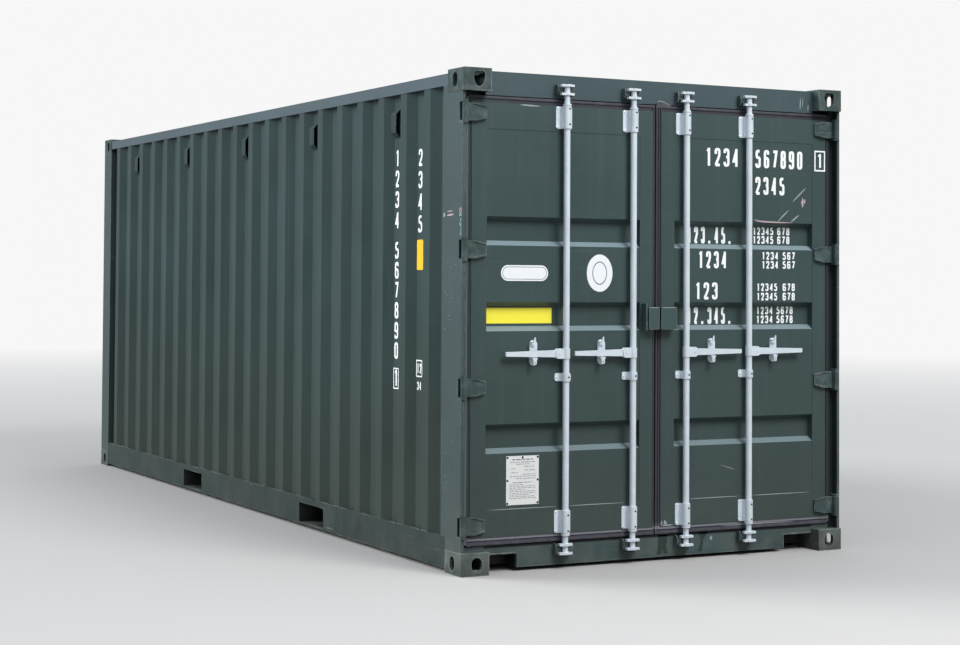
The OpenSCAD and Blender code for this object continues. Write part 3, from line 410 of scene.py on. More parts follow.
prints = {
    # name: colour, worn colour, roughness, metallic
    "whiteMark": (srgb(246, 249, 250), srgb(212, 218, 219)),
    "whiteVinyl": (srgb(240, 243, 246), srgb(222, 227, 231)),
    "yellowVinyl": (srgb(255, 244, 70), srgb(248, 232, 76)),
    "amberVinyl": (srgb(240, 196, 44), srgb(226, 180, 48)),
    "bluePrint": (srgb(112, 124, 138), srgb(140, 150, 160)),
    "plateAlloy": (srgb(226, 226, 224), srgb(200, 203, 201)),
    # painted shadow, a near-black strip
    "paintedShadow": (srgb(18, 20, 20), srgb(24, 26, 26), 0.8),
    "scratchMark": (srgb(150, 160, 158), srgb(96, 108, 106)),
    "pinkMark": (srgb(178, 158, 162), srgb(112, 108, 110)),
    "greenMark": (srgb(118, 164, 148), srgb(92, 118, 110)),
    "touchedUp": (srgb(40, 54, 48), srgb(48, 62, 57), 0.5),
    "boltBlack": (srgb(24, 28, 30), srgb(48, 46, 44), 0.5, 0.3),
}


def printMaterial(name, colour, worn, roughness=0.45, metallic=0.0):
    # Paint marks, vinyl labels and small fittings, a little worn
    tree, shader = newMaterial(name)
    fade = noiseOn(tree, objectPlace(tree), Scale=60.0, Detail=7.0, Roughness=0.7)
    shader.inputs["Metallic"].default_value = metallic
    setInputs(tree, shader, Base_Color=mixColour(tree, ramp(tree, fade, 0.56, 0.74), colour, worn),
              Roughness=ramp(tree, fade, 0.3, 0.7, roughness - 0.06, roughness + 0.08))


for name, look in paints.items():
    paintMaterial(name, **look)
zincMaterial()
rubberMaterial()
plywoodMaterial()
for name, look in prints.items():
    printMaterial(name, *look)
print("materials made")

# Finishes of the CAD pieces, all others are zinc

finishes = {
    "castingPaint": ("bottom_castings", "top_castings"),
    "postPaint": ("door_posts", "front_posts"),
    "headerPaint": ("door_header",),
    "sillPaint": ("door_sill",),
    "shellPaint": ("front_rails", "side_wall_left", "side_wall_right", "front_wall"),
    "topRailPaint": ("top_rails",),
    "railPaint": ("bottom_rails",),
    "roofPaint": ("roof",),
    "underPaint": ("cross_members", "fork_pockets"),
    "floorPlywood": ("floor_boards",),
    "ventPaint": ("vents",),
    "hardwarePaint": ("hinge_lugs", "cam_keepers", "door_hinges_left", "door_hinges_right"),
    "doorPaint": ("door_frame_left", "door_frame_right", "door_panel_left", "door_panel_right"),
    "gasketRubber": ("door_gasket_left", "door_gasket_right"),
    "lockPaint": ("lock_plate_left", "lock_box_right"),
    "plateAlloy": ("data_plate",),
}
finishOf = {name: finish for finish, group in finishes.items() for name in group}
for name, node in nodes.items():
    for slot in node.material_slots:
        slot.material = materials[finishOf.get(name, "galvanisedSteel")]

# Rounded edges on the CAD pieces: width -> pieces
softEdges = {
    0.0015: ("bar_brackets_left", "bar_brackets_right"),
    0.002: ("bottom_rails", "door_gasket_left", "door_gasket_right", "door_hinges_left", "door_hinges_right"),
    0.0025: ("handle_1", "handle_2", "handle_3", "handle_4"),
    0.003: ("door_posts", "front_posts", "door_header", "door_sill", "vents"),
    0.004: ("bottom_castings", "top_castings", "top_rails", "side_wall_left", "side_wall_right", "front_wall",
            "roof", "door_panel_left", "door_panel_right"),
    0.005: ("door_frame_left", "door_frame_right"),
}

# Marks: plain numbers made of strokes

numberLook = {"slim": 0.48, "stroke": 0.155, "gap": 0.2, "corner": 0.34, "cornerSteps": 4, "lift": 0.0006,
              "layer": 0.0002}
glyphs = {
    "0": [("closed", [(0, 0), (1, 0), (1, 1), (0, 1)])],
    "1": [("sharp", [(0.2, 0.84), (0.62, 1.0)]), ("sharp", [(0.62, 1.07), (0.62, -0.07)])],
    "2": [("open", [(0, 0.7), (0, 1), (1, 1), (1, 0.58), (0, 0)]), ("sharp", [(-0.1, 0), (1.1, 0)])],
    "3": [("open", [(0, 0.78), (0, 1), (1, 1), (1, 0.53), (0.4, 0.53)]),
          ("open", [(0.4, 0.53), (1, 0.53), (1, 0), (0, 0), (0, 0.22)])],
    "4": [("sharp", [(0.76, -0.07), (0.76, 1.07)]), ("sharp", [(0.76, 1), (0, 0.28), (1.1, 0.28)])],
    "5": [("open", [(0.95, 1), (0.06, 1), (0.06, 0.58), (1, 0.58), (1, 0), (0, 0), (0, 0.2)])],
    "6": [("open", [(1, 0.8), (1, 1), (0, 1), (0, 0), (1, 0), (1, 0.3)]),
          ("open", [(0, 0.55), (1, 0.55), (1, 0.25)])],
    "7": [("sharp", [(0, 1), (1, 1), (0.36, 0)])],
    "8": [("closed", [(0, 0), (1, 0), (1, 0.53), (0, 0.53)]),
          ("closed", [(0.04, 0.53), (0.96, 0.53), (0.96, 1), (0.04, 1)])],
    "9": [("open", [(0, 0.2), (0, 0), (1, 0), (1, 1), (0, 1), (0, 0.7)]),
          ("open", [(1, 0.45), (0, 0.45), (0, 0.75)])],
    ".": [("sharp", [(0.3, -0.09), (0.3, 0.11)])],
}


def roundCorners(points, closed, radius, steps):
    result = []
    count = len(points)
    for i, p in enumerate(points):
        if not closed and i in (0, count - 1):
            result.append(p)
            continue
        a = p - points[i - 1]
        b = points[(i + 1) % count] - p
        r = min(radius, a.length * 0.49, b.length * 0.49)
        start = p - a.normalized() * r
        finish = p + b.normalized() * r
        for k in range(steps + 1):
            t = k / steps
            result.append(start * (1 - t) ** 2 + p * 2 * t * (1 - t) + finish * t * t)
    return result


def strokeFaces(mesh, points, closed, half, place):
    # A band of even width along the points
    tiny = 1e-6
    count = len(points)
    sides = []
    for i, p in enumerate(points):
        steps = []
        if closed or i:
            steps.append(p - points[i - 1])
        if closed or i < count - 1:
            steps.append(points[(i + 1) % count] - p)
        directions = [step.normalized() for step in steps if step.length > 1e-9]
        mean = sum(directions, Vector((0, 0)))
        mean = mean.normalized() if mean.length > tiny else directions[0]
        normal = Vector((-mean.y, mean.x))
        scale = half / max(0.35, abs(normal.dot(Vector((-directions[0].y, directions[0].x)))))
        sides.append((mesh.verts.new(place(p + normal * scale)), mesh.verts.new(place(p - normal * scale))))
    for i in range(count if closed else count - 1):
        a, b = sides[i], sides[(i + 1) % count]
        mesh.faces.new((a[0], a[1], b[1], b[0]))


def writeNumber(mesh, text, height, place, width=None, pitch=None, bold=1.0):
    # place takes (x, y, out) in metres, from the lower left corner; with a pitch the digits stand in a column
    slim = numberLook["slim"] * height
    half = numberLook["stroke"] * height / 2 * bold
    gap = numberLook["gap"] * height
    if width:
        slim = (width - gap * (len(text) - 1)) / len(text)
    x = y = 0.0
    for letter in text:
        for layer, (form, corners) in enumerate(glyphs[letter]):
            closed = form == "closed"
            points = [Vector((half + cx * (slim - 2 * half), half + cy * (height - 2 * half)))
                      for cx, cy in corners]
            if form != "sharp":
                points = roundCorners(points, closed, slim * numberLook["corner"], numberLook["cornerSteps"])
            out = layer * numberLook["layer"]
            strokeFaces(mesh, points, closed, half,
                        lambda p, x=x, y=y, out=out: place(p.x + x, p.y + y, out))
        if pitch:
            y -= pitch
        else:
            x += slim + gap


def addObject(name, data):
    piece = bpy.data.objects.new(name, data)
    scene.collection.objects.link(piece)
    return piece


def newPiece(name, mesh, material, body, slotName="green_paint"):
    bmesh.ops.recalc_face_normals(mesh, faces=mesh.faces)
    data = bpy.data.meshes.new(name)
    mesh.to_mesh(data)
    mesh.free()
    data.materials.append(materials[material])
    piece = addObject(name, data)
    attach(piece, body)


lift = numberLook["lift"]
# Faces, as distances behind the door end
doorSheet = 0.055
stileFace = 0.053
sillFace = 0.066
ribFloor = 0.091
lockFace = 0.005
wallInset = 0.041   # outer flats of the side walls, behind the container's side


def onDoor(x0, z0, depth):
    return lambda x, y, out=0.0: Vector((x0 + x, doorEnd + depth - lift - out, z0 + y))


def onLeftWall(y0, z0):
    # right of the reader is towards the door end
    return lambda x, y, out=0.0: Vector((-halfWidth + wallInset - lift - out, y0 - x, z0 + y))


def onRightWall(y0, z0):
    return lambda x, y, out=0.0: Vector((halfWidth - wallInset + lift + out, y0 + x, z0 + y))


def outline(mesh, place, wide, tall, line):
    half = line / 2
    corners = ((half, half), (wide - half, half), (wide - half, tall - half), (half, tall - half))
    strokeFaces(mesh, [Vector(p) for p in corners], True, half, lambda p: place(p.x, p.y))


doorNumbers = [
    # text, left, low, height, width, depth
    ("1234", 0.317, 2.137, 0.102, 0.222, doorSheet),
    ("567890", 0.655, 2.137, 0.102, 0.328, doorSheet),
    ("1", 1.084, 2.150, 0.082, None, stileFace),
    ("2345", 0.655, 1.988, 0.100, 0.202, doorSheet),
    ("123.45.", 0.222, 1.712, 0.092, 0.300, ribFloor),
    ("1234", 0.270, 1.576, 0.094, 0.190, doorSheet),
    ("123", 0.250, 1.405, 0.094, 0.150, doorSheet),
    ("12.345.", 0.222, 1.270, 0.092, 0.300, ribFloor),
]
doorSmall = [
    # two columns, high row, low row, their left edges, depth
    ("12345", "678", 1.765, 1.716, 0.665, 0.835, ribFloor),
    ("1234", "567", 1.627, 1.577, 0.700, 0.845, doorSheet),
    ("12345", "678", 1.452, 1.400, 0.665, 0.845, doorSheet),
    ("1234", "5678", 1.322, 1.272, 0.690, 0.830, ribFloor),
]
smallLook = {"height": 0.0435, "pitch": 0.0285, "bold": 1.25}


def doorMarks():
    mesh = bmesh.new()
    for text, left, low, height, width, depth in doorNumbers:
        writeNumber(mesh, text, height, onDoor(left, low, depth), width)
    for first, second, high, low, left, right, depth in doorSmall:
        for row in (high, low):
            for text, x in ((first, left), (second, right)):
                writeNumber(mesh, text, smallLook["height"], onDoor(x, row, depth),
                            smallLook["pitch"] * len(text), bold=smallLook["bold"])
    outline(mesh, onDoor(1.067, 2.131, stileFace), 0.076, 0.117, 0.008)
    newPiece("door_marks", mesh, "whiteMark", "door_right")


sideLook = {"height": 0.092, "columnPitch": 0.2785, "fromDoorEnd": 0.838, "fromClosedEnd": 0.735, "line": 0.006}
sideStacks = [
    # text, top, column, pitch
    ("1234", 2.215, 0, 0.114),
    ("567890", 1.708, 0, 0.110),
    ("2345", 2.204, 1, 0.119),
]


def sideMarks(name, place):
    mesh = bmesh.new()
    height, step = sideLook["height"], sideLook["columnPitch"]
    slim = numberLook["slim"] * height
    for text, top, column, pitch in sideStacks:
        writeNumber(mesh, text, height, place(column * step, top - height, slim), pitch=pitch)
    writeNumber(mesh, "1", height, place(0, 0.918, slim))
    outline(mesh, place(0, 0.902, 0.062), 0.062, 0.115, sideLook["line"])
    for text, low, tall in (("12", 1.002, 0.052), ("34", 0.912, 0.045)):
        writeNumber(mesh, text, tall, place(step, low, 0.046), 0.046)
    outline(mesh, place(step, 0.982, 0.068), 0.068, 0.09, sideLook["line"])
    newPiece(name, mesh, "whiteMark", "container_shell")


doorMarks()
sideMarks("side_marks_left", lambda column, z, wide: onLeftWall(
    doorEnd + sideLook["fromDoorEnd"] - column + wide / 2, z))
sideMarks("side_marks_right", lambda column, z, wide: onRightWall(
    closedEnd - sideLook["fromClosedEnd"] + column - wide / 2, z))
print("numbers written")

# Labels on the doors and the wall


def rectangle(x0, y0, x1, y1):
    return [(x0, y0), (x1, y0), (x1, y1), (x0, y1)]


def ellipsePoints(cx, cy, rx, ry, steps=64):
    angles = [2 * math.pi * k / steps for k in range(steps)]
    return [(cx + rx * math.cos(angle), cy + ry * math.sin(angle)) for angle in angles]


def circle(radius, count):
    return ellipsePoints(0, 0, radius, radius, count)


def stadiumPoints(x0, y0, x1, y1, radius, steps=10):
    points = []
    for cx, cy, start in ((x1 - radius, y1 - radius, 0), (x0 + radius, y1 - radius, 90),
                          (x0 + radius, y0 + radius, 180), (x1 - radius, y0 + radius, 270)):
        for k in range(steps + 1):
            angle = math.radians(start + 90 * k / steps)
            points.append((cx + radius * math.cos(angle), cy + radius * math.sin(angle)))
    return points


def flatShape(mesh, place, points):
    mesh.faces.new([mesh.verts.new(place(x, y)) for x, y in points])


def joinRings(mesh, rings):
    count = len(rings[0])
    for a, b in zip(rings, rings[1:]):
        for k in range(count):
            j = (k + 1) % count
            mesh.faces.new((a[k], a[j], b[j], b[k]))


def ringShape(mesh, place, outer, inner):
    joinRings(mesh, [[mesh.verts.new(place(*p)) for p in points] for points in (outer, inner)])


def prism(mesh, low, high):
    # A closed solid between two like outlines
    rings = [[mesh.verts.new(p) for p in points] for points in (low, high)]
    for ring in rings:
        mesh.faces.new(ring)
    joinRings(mesh, rings)


def label(name, material, body, build, slotName="green_paint"):
    mesh = bmesh.new()
    build(mesh)
    newPiece(name, mesh, material, body, slotName)


labelRaise = 0.0003   # a print over its label
ovalLabel = {"x0": -0.967, "x1": -0.684, "z0": 1.500, "z1": 1.582, "round": 0.0405, "line": (0.008, 0.011)}
roundLabel = {"x": -0.365, "z": 1.544, "size": (0.0805, 0.099), "ring": ((0.046, 0.062), (0.041, 0.056))}
yellowLabel = {"x0": -1.036, "x1": -0.640, "z0": 1.279, "z1": 1.360}
wallLabel = {"fromDoorEnd": 0.5945, "z": 1.554, "wide": 0.072, "tall": 0.162, "round": 0.010}
face = onDoor(0, 0, doorSheet)
printFace = onDoor(0, 0, doorSheet - labelRaise)


def ovalShape(inset=0.0):
    return stadiumPoints(ovalLabel["x0"] + inset, ovalLabel["z0"] + inset, ovalLabel["x1"] - inset,
                         ovalLabel["z1"] - inset, ovalLabel["round"] - inset)


def roundShape(size):
    return ellipsePoints(roundLabel["x"], roundLabel["z"], *size)


def plateLines(mesh):
    # Rows of short dashes, as small print looks from afar
    def place(x, y):
        return Vector((low.x + x, low.y - 0.0004, low.z + y))
    low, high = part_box("data_plate")
    wide, tall = high.x - low.x, high.z - low.z
    chance = random.Random(12)
    rows = [
        # height, left and right as parts of the plate, thickness
        (0.915, 0.18, 0.82, 0.0055), (0.865, 0.12, 0.88, 0.0035), (0.825, 0.3, 0.7, 0.003),
        (0.775, 0.55, 0.85, 0.003), (0.735, 0.15, 0.3, 0.003), (0.70, 0.55, 0.9, 0.003),
        (0.655, 0.15, 0.35, 0.003), (0.615, 0.5, 0.9, 0.003), (0.575, 0.12, 0.9, 0.003),
        (0.53, 0.3, 0.9, 0.003), (0.45, 0.2, 0.8, 0.0035), (0.41, 0.1, 0.5, 0.0025),
        (0.375, 0.1, 0.9, 0.0025), (0.34, 0.1, 0.9, 0.0025), (0.305, 0.1, 0.6, 0.0025),
        (0.27, 0.1, 0.9, 0.0025), (0.235, 0.1, 0.9, 0.0025), (0.20, 0.1, 0.7, 0.0025),
        (0.165, 0.1, 0.9, 0.0025), (0.13, 0.1, 0.9, 0.0025)]
    for row, left, right, thick in rows:
        x, y = left * wide, row * tall
        while x < right * wide:
            length = chance.uniform(0.008, 0.030)
            end = min(x + length, right * wide)
            flatShape(mesh, place, rectangle(x, y, end, y + thick))
            x = end + chance.uniform(0.003, 0.007)


label("oval_label", "whiteVinyl", "door_left", lambda m: flatShape(m, face, ovalShape()))
label("oval_label_line", "bluePrint", "door_left", lambda m: ringShape(
    m, printFace, *[ovalShape(inset) for inset in ovalLabel["line"]]))
label("round_label", "whiteVinyl", "door_left", lambda m: flatShape(m, face, roundShape(roundLabel["size"])))
label("round_label_ring", "bluePrint", "door_left", lambda m: ringShape(
    m, printFace, *[roundShape(size) for size in roundLabel["ring"]]))
label("yellow_label", "yellowVinyl", "door_left", lambda m: flatShape(
    m, onDoor(0, 0, ribFloor),
    rectangle(yellowLabel["x0"], yellowLabel["z0"], yellowLabel["x1"], yellowLabel["z1"])))
label("wall_label", "amberVinyl", "container_shell", lambda m: flatShape(
    m, onLeftWall(doorEnd + wallLabel["fromDoorEnd"], wallLabel["z"]),
    stadiumPoints(0, 0, wallLabel["wide"], wallLabel["tall"], wallLabel["round"], 6)))
label("plate_lines", "bluePrint", "door_left", plateLines, "plate_alloy")
print("labels placed")

# Scars: irregular spots and tapered scratches

stile = onDoor(0, 0, stileFace)
sill = onDoor(0, 0, sillFace)
lockBox = onDoor(0, 0, lockFace)
footLip = onDoor(0, 0, 0.0565)


def onPost(y, z):
    # flat side of the left door post: distance from the door end, height
    return Vector((-halfWidth + 0.002 - lift, doorEnd + y, z))


def spot(mesh, place, cx, cy, rx, ry, seed, ragged=0.3, steps=14):
    chance = random.Random(seed)
    points = []
    for k in range(steps):
        angle = 2 * math.pi * k / steps
        reach = 1 + chance.uniform(-ragged, ragged)
        points.append((cx + rx * reach * math.cos(angle), cy + ry * reach * math.sin(angle)))
    flatShape(mesh, place, points)


def scratch(mesh, place, width, *points, steps=10):
    # A line through the points, thin at both ends
    points = [Vector(p) for p in points]
    walk = [a.lerp(b, k / steps) for a, b in zip(points, points[1:]) for k in range(steps)]
    walk.append(points[-1])
    rows = []
    for i, p in enumerate(walk):
        along = (walk[min(i + 1, len(walk) - 1)] - walk[max(i - 1, 0)]).normalized()
        half = width / 2 * max(0.12, math.sin(math.pi * i / (len(walk) - 1)) ** 0.6)
        normal = Vector((-along.y, along.x)) * half
        rows.append((mesh.verts.new(place(*(p + normal))), mesh.verts.new(place(*(p - normal)))))
    for a, b in zip(rows, rows[1:]):
        mesh.faces.new((a[0], a[1], b[1], b[0]))


def seamOn(side):
    # Light edge where the sheet meets the foot member, between the bars
    def build(mesh):
        for left, right in ((0.207, 0.555), (0.625, 1.030)):
            scratch(mesh, face, 0.0045, (side * left, 0.3235), (side * right, 0.3235))
    return build


def doorScratches(mesh):
    scratch(mesh, face, 0.008, (0.914, 1.954), (1.009, 2.035))
    scratch(mesh, face, 0.007, (0.805, 1.836), (0.854, 1.879), (0.889, 1.908))
    scratch(mesh, face, 0.009, (0.900, 1.838), (0.960, 1.881))
    scratch(mesh, face, 0.003, (0.42, 0.50), (0.52, 0.47))


def doorSmears(mesh):
    scratch(mesh, face, 0.009, (0.646, 1.850), (0.674, 1.842), (0.715, 1.8385), (0.812, 1.8365), (0.912, 1.835))
    spot(mesh, face, 0.984, 1.952, 0.009, 0.024, 3)
    spot(mesh, face, 1.000, 1.958, 0.005, 0.016, 4)


def gasketScuffs(mesh):
    scratch(mesh, footLip, 0.004, (0.420, 0.1660), (0.640, 0.1665), (0.930, 0.1655))
    scratch(mesh, stile, 0.009, (0.034, 0.215), (0.0335, 0.189))
    scratch(mesh, stile, 0.008, (0.034, 0.190), (0.070, 0.1885), (0.108, 0.190))
    flatShape(mesh, stile, [(0.047, 0.195), (0.070, 0.196), (0.066, 0.206), (0.054, 0.218), (0.050, 0.216)])


def leftDoorScuffs(mesh):
    scratch(mesh, stile, 0.008, (-0.858, 2.4165), (-0.800, 2.4150), (-0.737, 2.4135))
    scratch(mesh, lockBox, 0.004, (-0.081, 1.3610), (-0.050, 1.3615), (-0.018, 1.3610))


def lockBoxScuffs(mesh):
    scratch(mesh, lockBox, 0.004, (-0.002, 1.3610), (0.040, 1.3615), (0.096, 1.3610))


def sillScuffs(mesh):
    # on the header too, which lies as deep
    spot(mesh, sill, 0.368, 0.102, 0.008, 0.012, 40)
    for x, z, length, wide in ((0.975, 2.474, 0.070, 0.006), (0.992, 2.490, 0.060, 0.004),
                               (1.030, 2.470, 0.040, 0.007)):
        scratch(mesh, sill, wide, (x, z), (x + 0.003, z + length))


def sillPatches(mesh):
    flatShape(mesh, sill, [(0.012, 0.034), (0.040, 0.034), (0.046, 0.062), (0.058, 0.037), (0.086, 0.038),
                           (0.073, 0.066), (0.080, 0.136), (0.022, 0.136), (0.019, 0.080)])
    flatShape(mesh, sill, [(0.284, 0.036), (0.309, 0.036), (0.316, 0.098), (0.348, 0.136), (0.288, 0.136),
                           (0.300, 0.090)])


def postMarksPink(mesh):
    scratch(mesh, onPost, 0.011, (0.182, 1.836), (0.106, 1.840))
    scratch(mesh, onPost, 0.006, (0.180, 1.856), (0.118, 1.858))
    sizes = ((0.012, 0.015), (0.006, 0.008))
    ringShape(mesh, onPost, *[ellipsePoints(0.034, 1.858, *size, 24) for size in sizes])


def postMarksGreen(mesh):
    spots = ((0.036, 1.836, 0.012, 0.008), (0.030, 1.806, 0.006, 0.016), (0.034, 1.790, 0.011, 0.012),
             (0.029, 1.762, 0.004, 0.018), (0.033, 1.738, 0.007, 0.008))
    for i, values in enumerate(spots):
        spot(mesh, onPost, *values, 60 + i)


def postSpeckles(mesh):
    chance = random.Random(77)
    for i in range(46):
        y = 0.03 + 0.17 * chance.random() ** 1.3
        z = chance.choice((0.56, 0.72, 1.30, 1.50)) + chance.gauss(0, 0.09)
        size = chance.uniform(0.0012, 0.0032)
        spot(mesh, onPost, y, z, size, size * chance.uniform(0.8, 1.8), 100 + i, 0.35, 8)
    spot(mesh, onPost, 0.212, 1.838, 0.010, 0.013, 90)


label("seam_light_left", "scratchMark", "door_left", seamOn(-1))
label("seam_light_right", "scratchMark", "door_right", seamOn(1))
label("door_scratches", "scratchMark", "door_right", doorScratches)
label("door_smears", "pinkMark", "door_right", doorSmears)
label("gasket_scuffs", "scratchMark", "door_right", gasketScuffs)
label("left_door_scuffs", "scratchMark", "door_left", leftDoorScuffs)
label("lock_box_scuffs", "scratchMark", "door_right", lockBoxScuffs)
label("sill_scuffs", "scratchMark", "container_shell", sillScuffs)
# painted shadow: a dark strip along the top of the sill, under the seal's foot
label("sill_shadow_line", "paintedShadow", "container_shell", lambda m: flatShape(
    m, sill, rectangle(-1.055, 0.127, 1.055, 0.1375)))
label("sill_patches", "touchedUp", "container_shell", sillPatches)
label("post_marks_pink", "pinkMark", "container_shell", postMarksPink)
label("post_marks_green", "greenMark", "container_shell", postMarksGreen)
label("post_speckles", "scratchMark", "container_shell", postSpeckles)
print("scars made")

# Bolts and rivets

boltLook = {"radius": 0.0052, "head": 0.0040, "coverDepth": 0.0044, "washer": 1.45, "washerHigh": 0.0012,
            "rivet": 0.0068, "rivetHead": 0.0025, "plateRivet": 0.0062, "plateRivetHead": 0.0018}
gearBolts = {
    "bars": {"left": (-0.590, -0.172), "right": (0.172, 0.590)},
    "coverBolts": (0.200, 0.281, 0.998, 2.323, 2.404), "coverShift": 0.003,
    "flangeRivets": (0.196, 0.296, 2.308, 2.408), "flangeShift": -0.043, "flangeDepth": 0.048,
    "guideRivets": (-0.043, 0.034), "guideHigh": 0.998, "guideDepth": 0.050,
    "retainerShift": 0.184, "retainerHigh": 1.074, "retainerDepth": 0.049, "retainerBolt": (0.005, 0.003),
}


def boltHead(mesh, x, z, depth, radius, head):
    # A hexagon head on a washer, standing out of a face towards the door end
    washer = boltLook["washerHigh"]
    for r, low, high, count in ((radius * boltLook["washer"], 0, washer, 20), (radius, washer, head, 6)):
        rings = [[mesh.verts.new((x + a, doorEnd + depth - level, z + b)) for a, b in circle(r * shrink, count)]
                 for shrink, level in ((1.0, low), (1.0, high * 0.8), (0.86, high))]
        joinRings(mesh, rings)
        mesh.faces.new(rings[-1])


def rivet(mesh, x, y, z, radius, height, steps=4, count=14):
    # A dome on the face at y
    rings = []
    for i in range(steps):
        angle = math.pi / 2 * i / steps
        rings.append([mesh.verts.new((x + a, y - height * math.sin(angle), z + b))
                      for a, b in circle(radius * math.cos(angle), count)])
    top = mesh.verts.new((x, y - height, z))
    joinRings(mesh, rings)
    for k in range(count):
        mesh.faces.new((rings[-1][k], rings[-1][(k + 1) % count], top))


for side, bars in gearBolts["bars"].items():
    dark = bmesh.new()
    bright = bmesh.new()
    size = (boltLook["rivet"], boltLook["rivetHead"])
    for x in bars:
        for z in gearBolts["coverBolts"]:
            boltHead(dark, x + gearBolts["coverShift"], z, boltLook["coverDepth"], boltLook["radius"],
                     boltLook["head"])
        for z in gearBolts["flangeRivets"]:
            rivet(bright, x + gearBolts["flangeShift"], doorEnd + gearBolts["flangeDepth"], z, *size)
        for shift in gearBolts["guideRivets"]:
            rivet(bright, x + shift, doorEnd + gearBolts["guideDepth"], gearBolts["guideHigh"], *size)
        outward = math.copysign(gearBolts["retainerShift"], x)
        boltHead(bright, x + outward, gearBolts["retainerHigh"], gearBolts["retainerDepth"],
                 *gearBolts["retainerBolt"])
    newPiece("bracket_bolts_" + side, dark, "boltBlack", "door_" + side, "zinc")
    newPiece("bracket_rivets_" + side, bright, "galvanisedSteel", "door_" + side, "zinc")
plateLow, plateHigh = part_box("data_plate")
plateRivets = bmesh.new()
plateX = (plateLow.x + 0.007, plateHigh.x - 0.007)
plateZ = (plateLow.z + 0.008, (plateLow.z + plateHigh.z) / 2, plateHigh.z - 0.008)
for x, z in [(x, z) for x in plateX for z in plateZ] + [(sum(plateX) / 2, plateZ[2])]:
    rivet(plateRivets, x, plateLow.y, z, boltLook["plateRivet"], boltLook["plateRivetHead"])
newPiece("plate_rivets", plateRivets, "boltBlack", "door_left", "zinc")
print("bolts placed")

# Weld beads between castings, posts, header and sill


def bead(mesh, start, finish, radius, seed):
    start, finish = Vector(start), Vector(finish)
    along = finish - start
    count = max(4, int(along.length / 0.007))
    direction = along.normalized()
    across = direction.cross(Vector((0.3, 0.5, 0.8))).normalized()
    other = direction.cross(across)
    chance = random.Random(seed)
    rings = []
    for i in range(count + 1):
        r = radius * (0.92 if i % 2 else 0.72) * chance.uniform(0.9, 1.0)
        centre = start + along * i / count
        ring = [(across * math.cos(math.pi * k / 3) + other * math.sin(math.pi * k / 3)) * r for k in range(6)]
        rings.append([mesh.verts.new(centre + p) for p in ring])
    joinRings(mesh, rings)
    mesh.faces.new(rings[0])
    mesh.faces.new(rings[-1])


castingLook = {"height": 0.118, "width": 0.162, "beadFrom": 0.020, "beadTo": 0.176, "beadInset": 0.002}
beads = bmesh.new()
for side in (-1, 1):
    x = side * (halfWidth - castingLook["beadInset"])
    for z in (castingLook["height"], cadBox[1][2] - castingLook["height"]):
        for y, along in ((doorEnd, 1), (closedEnd, -1)):
            ends = [(x, y + along * reach, z) for reach in (castingLook["beadFrom"], castingLook["beadTo"])]
            bead(beads, *ends, 0.0020, 11)
    x = side * (halfWidth - castingLook["width"])
    for low, high, radius, seed in ((2.474, 2.583, 0.004, 12), (0.094, 0.117, 0.003, 13)):
        bead(beads, (x, doorEnd + sillFace, low), (x, doorEnd + sillFace, high), radius, seed)
newPiece("weld_beads", beads, "shellPaint", "container_shell")

# Thin lips of the seal: where the doors meet, and beside the door posts, the left one sprayed over

sealLip = {"wide": 0.0075, "thick": 0.0016, "front": stileFace - 0.0016, "low": 0.205, "high": 2.445}
sealEdge = {"wide": 0.013, "thick": 0.0015, "front": 0.059, "low": 0.150, "high": 2.448}


def sealStrip(name, start, side, look, material="gasketRubber", slotName="gasket_rubber"):
    # from x = start towards the side
    far = start + side * look["wide"]
    front = doorEnd + look["front"]
    flat = rectangle(min(start, far), front, max(start, far), front + look["thick"])
    rows = [[(x, y, z) for x, y in flat] for z in (look["low"], look["high"])]
    label(name, material, "door_left" if side < 0 else "door_right", lambda mesh: prism(mesh, *rows), slotName)


sealStrip("seal_lip_left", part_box("door_frame_left")[1].x, -1, sealLip)
sealStrip("seal_lip_right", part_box("door_frame_right")[0].x, 1, sealLip)
sealStrip("seal_edge_left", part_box("door_gasket_left")[0].x, -1, sealEdge, "sealPaint", "green_paint")
sealStrip("seal_edge_right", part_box("door_gasket_right")[1].x, 1, sealEdge)

# Loose corner of the seal at the top of the right door

flapShape = [(-0.002, 2.452), (-0.001, 2.470), (0.014, 2.4800), (0.045, 2.4745), (0.070, 2.4655),
             (0.094, 2.4560), (0.094, 2.4500)]
label("seal_flap", "gasketRubber", "door_right", lambda m: prism(
    m, *[[(x, doorEnd + depth, z) for x, z in flapShape] for depth in (0.0575, 0.0600)]), "gasket_rubber")
label("seal_flap_edge", "scratchMark", "door_right", lambda m: scratch(
    m, onDoor(0, 0, 0.0572), 0.004, (-0.001, 2.470), (0.014, 2.4785), (0.045, 2.4730), (0.088, 2.4570)),
    "gasket_rubber")

# Camera at the photograph's place

cameraLook = {"place": (-5.6647, -11.2225, 1.5215), "yaw": 26.304, "pitch": 1.687, "roll": 0.4296,
              "sensor_width": 36, "lens": 68.80, "shift_x": 0.0900, "shift_y": -0.1049, "clip_end": 200}
cameraData = bpy.data.cameras.new("camera")
for name in ("sensor_width", "lens", "shift_x", "shift_y", "clip_end"):
    setattr(cameraData, name, cameraLook[name])
camera = addObject("camera", cameraData)
camera.matrix_world = (Matrix.Translation(cameraLook["place"])
                       @ Matrix.Rotation(math.radians(-cameraLook["yaw"]), 4, "Z")
                       @ Matrix.Rotation(math.radians(90 + cameraLook["pitch"]), 4, "X")
                       @ Matrix.Rotation(math.radians(cameraLook["roll"]), 4, "Z"))
scene.camera = camera

# Floor, backdrop and light

stageLook = {"floor": srgb(160, 158, 156), "bounce": srgb(112, 110, 108), "haze": 0.93, "size": 90,
             "zenith": (0.80, 0.86, 0.94, 1), "horizon": (0.86, 0.87, 0.90, 1), "zenithLight": 2.0,
             "horizonLight": 0.42}


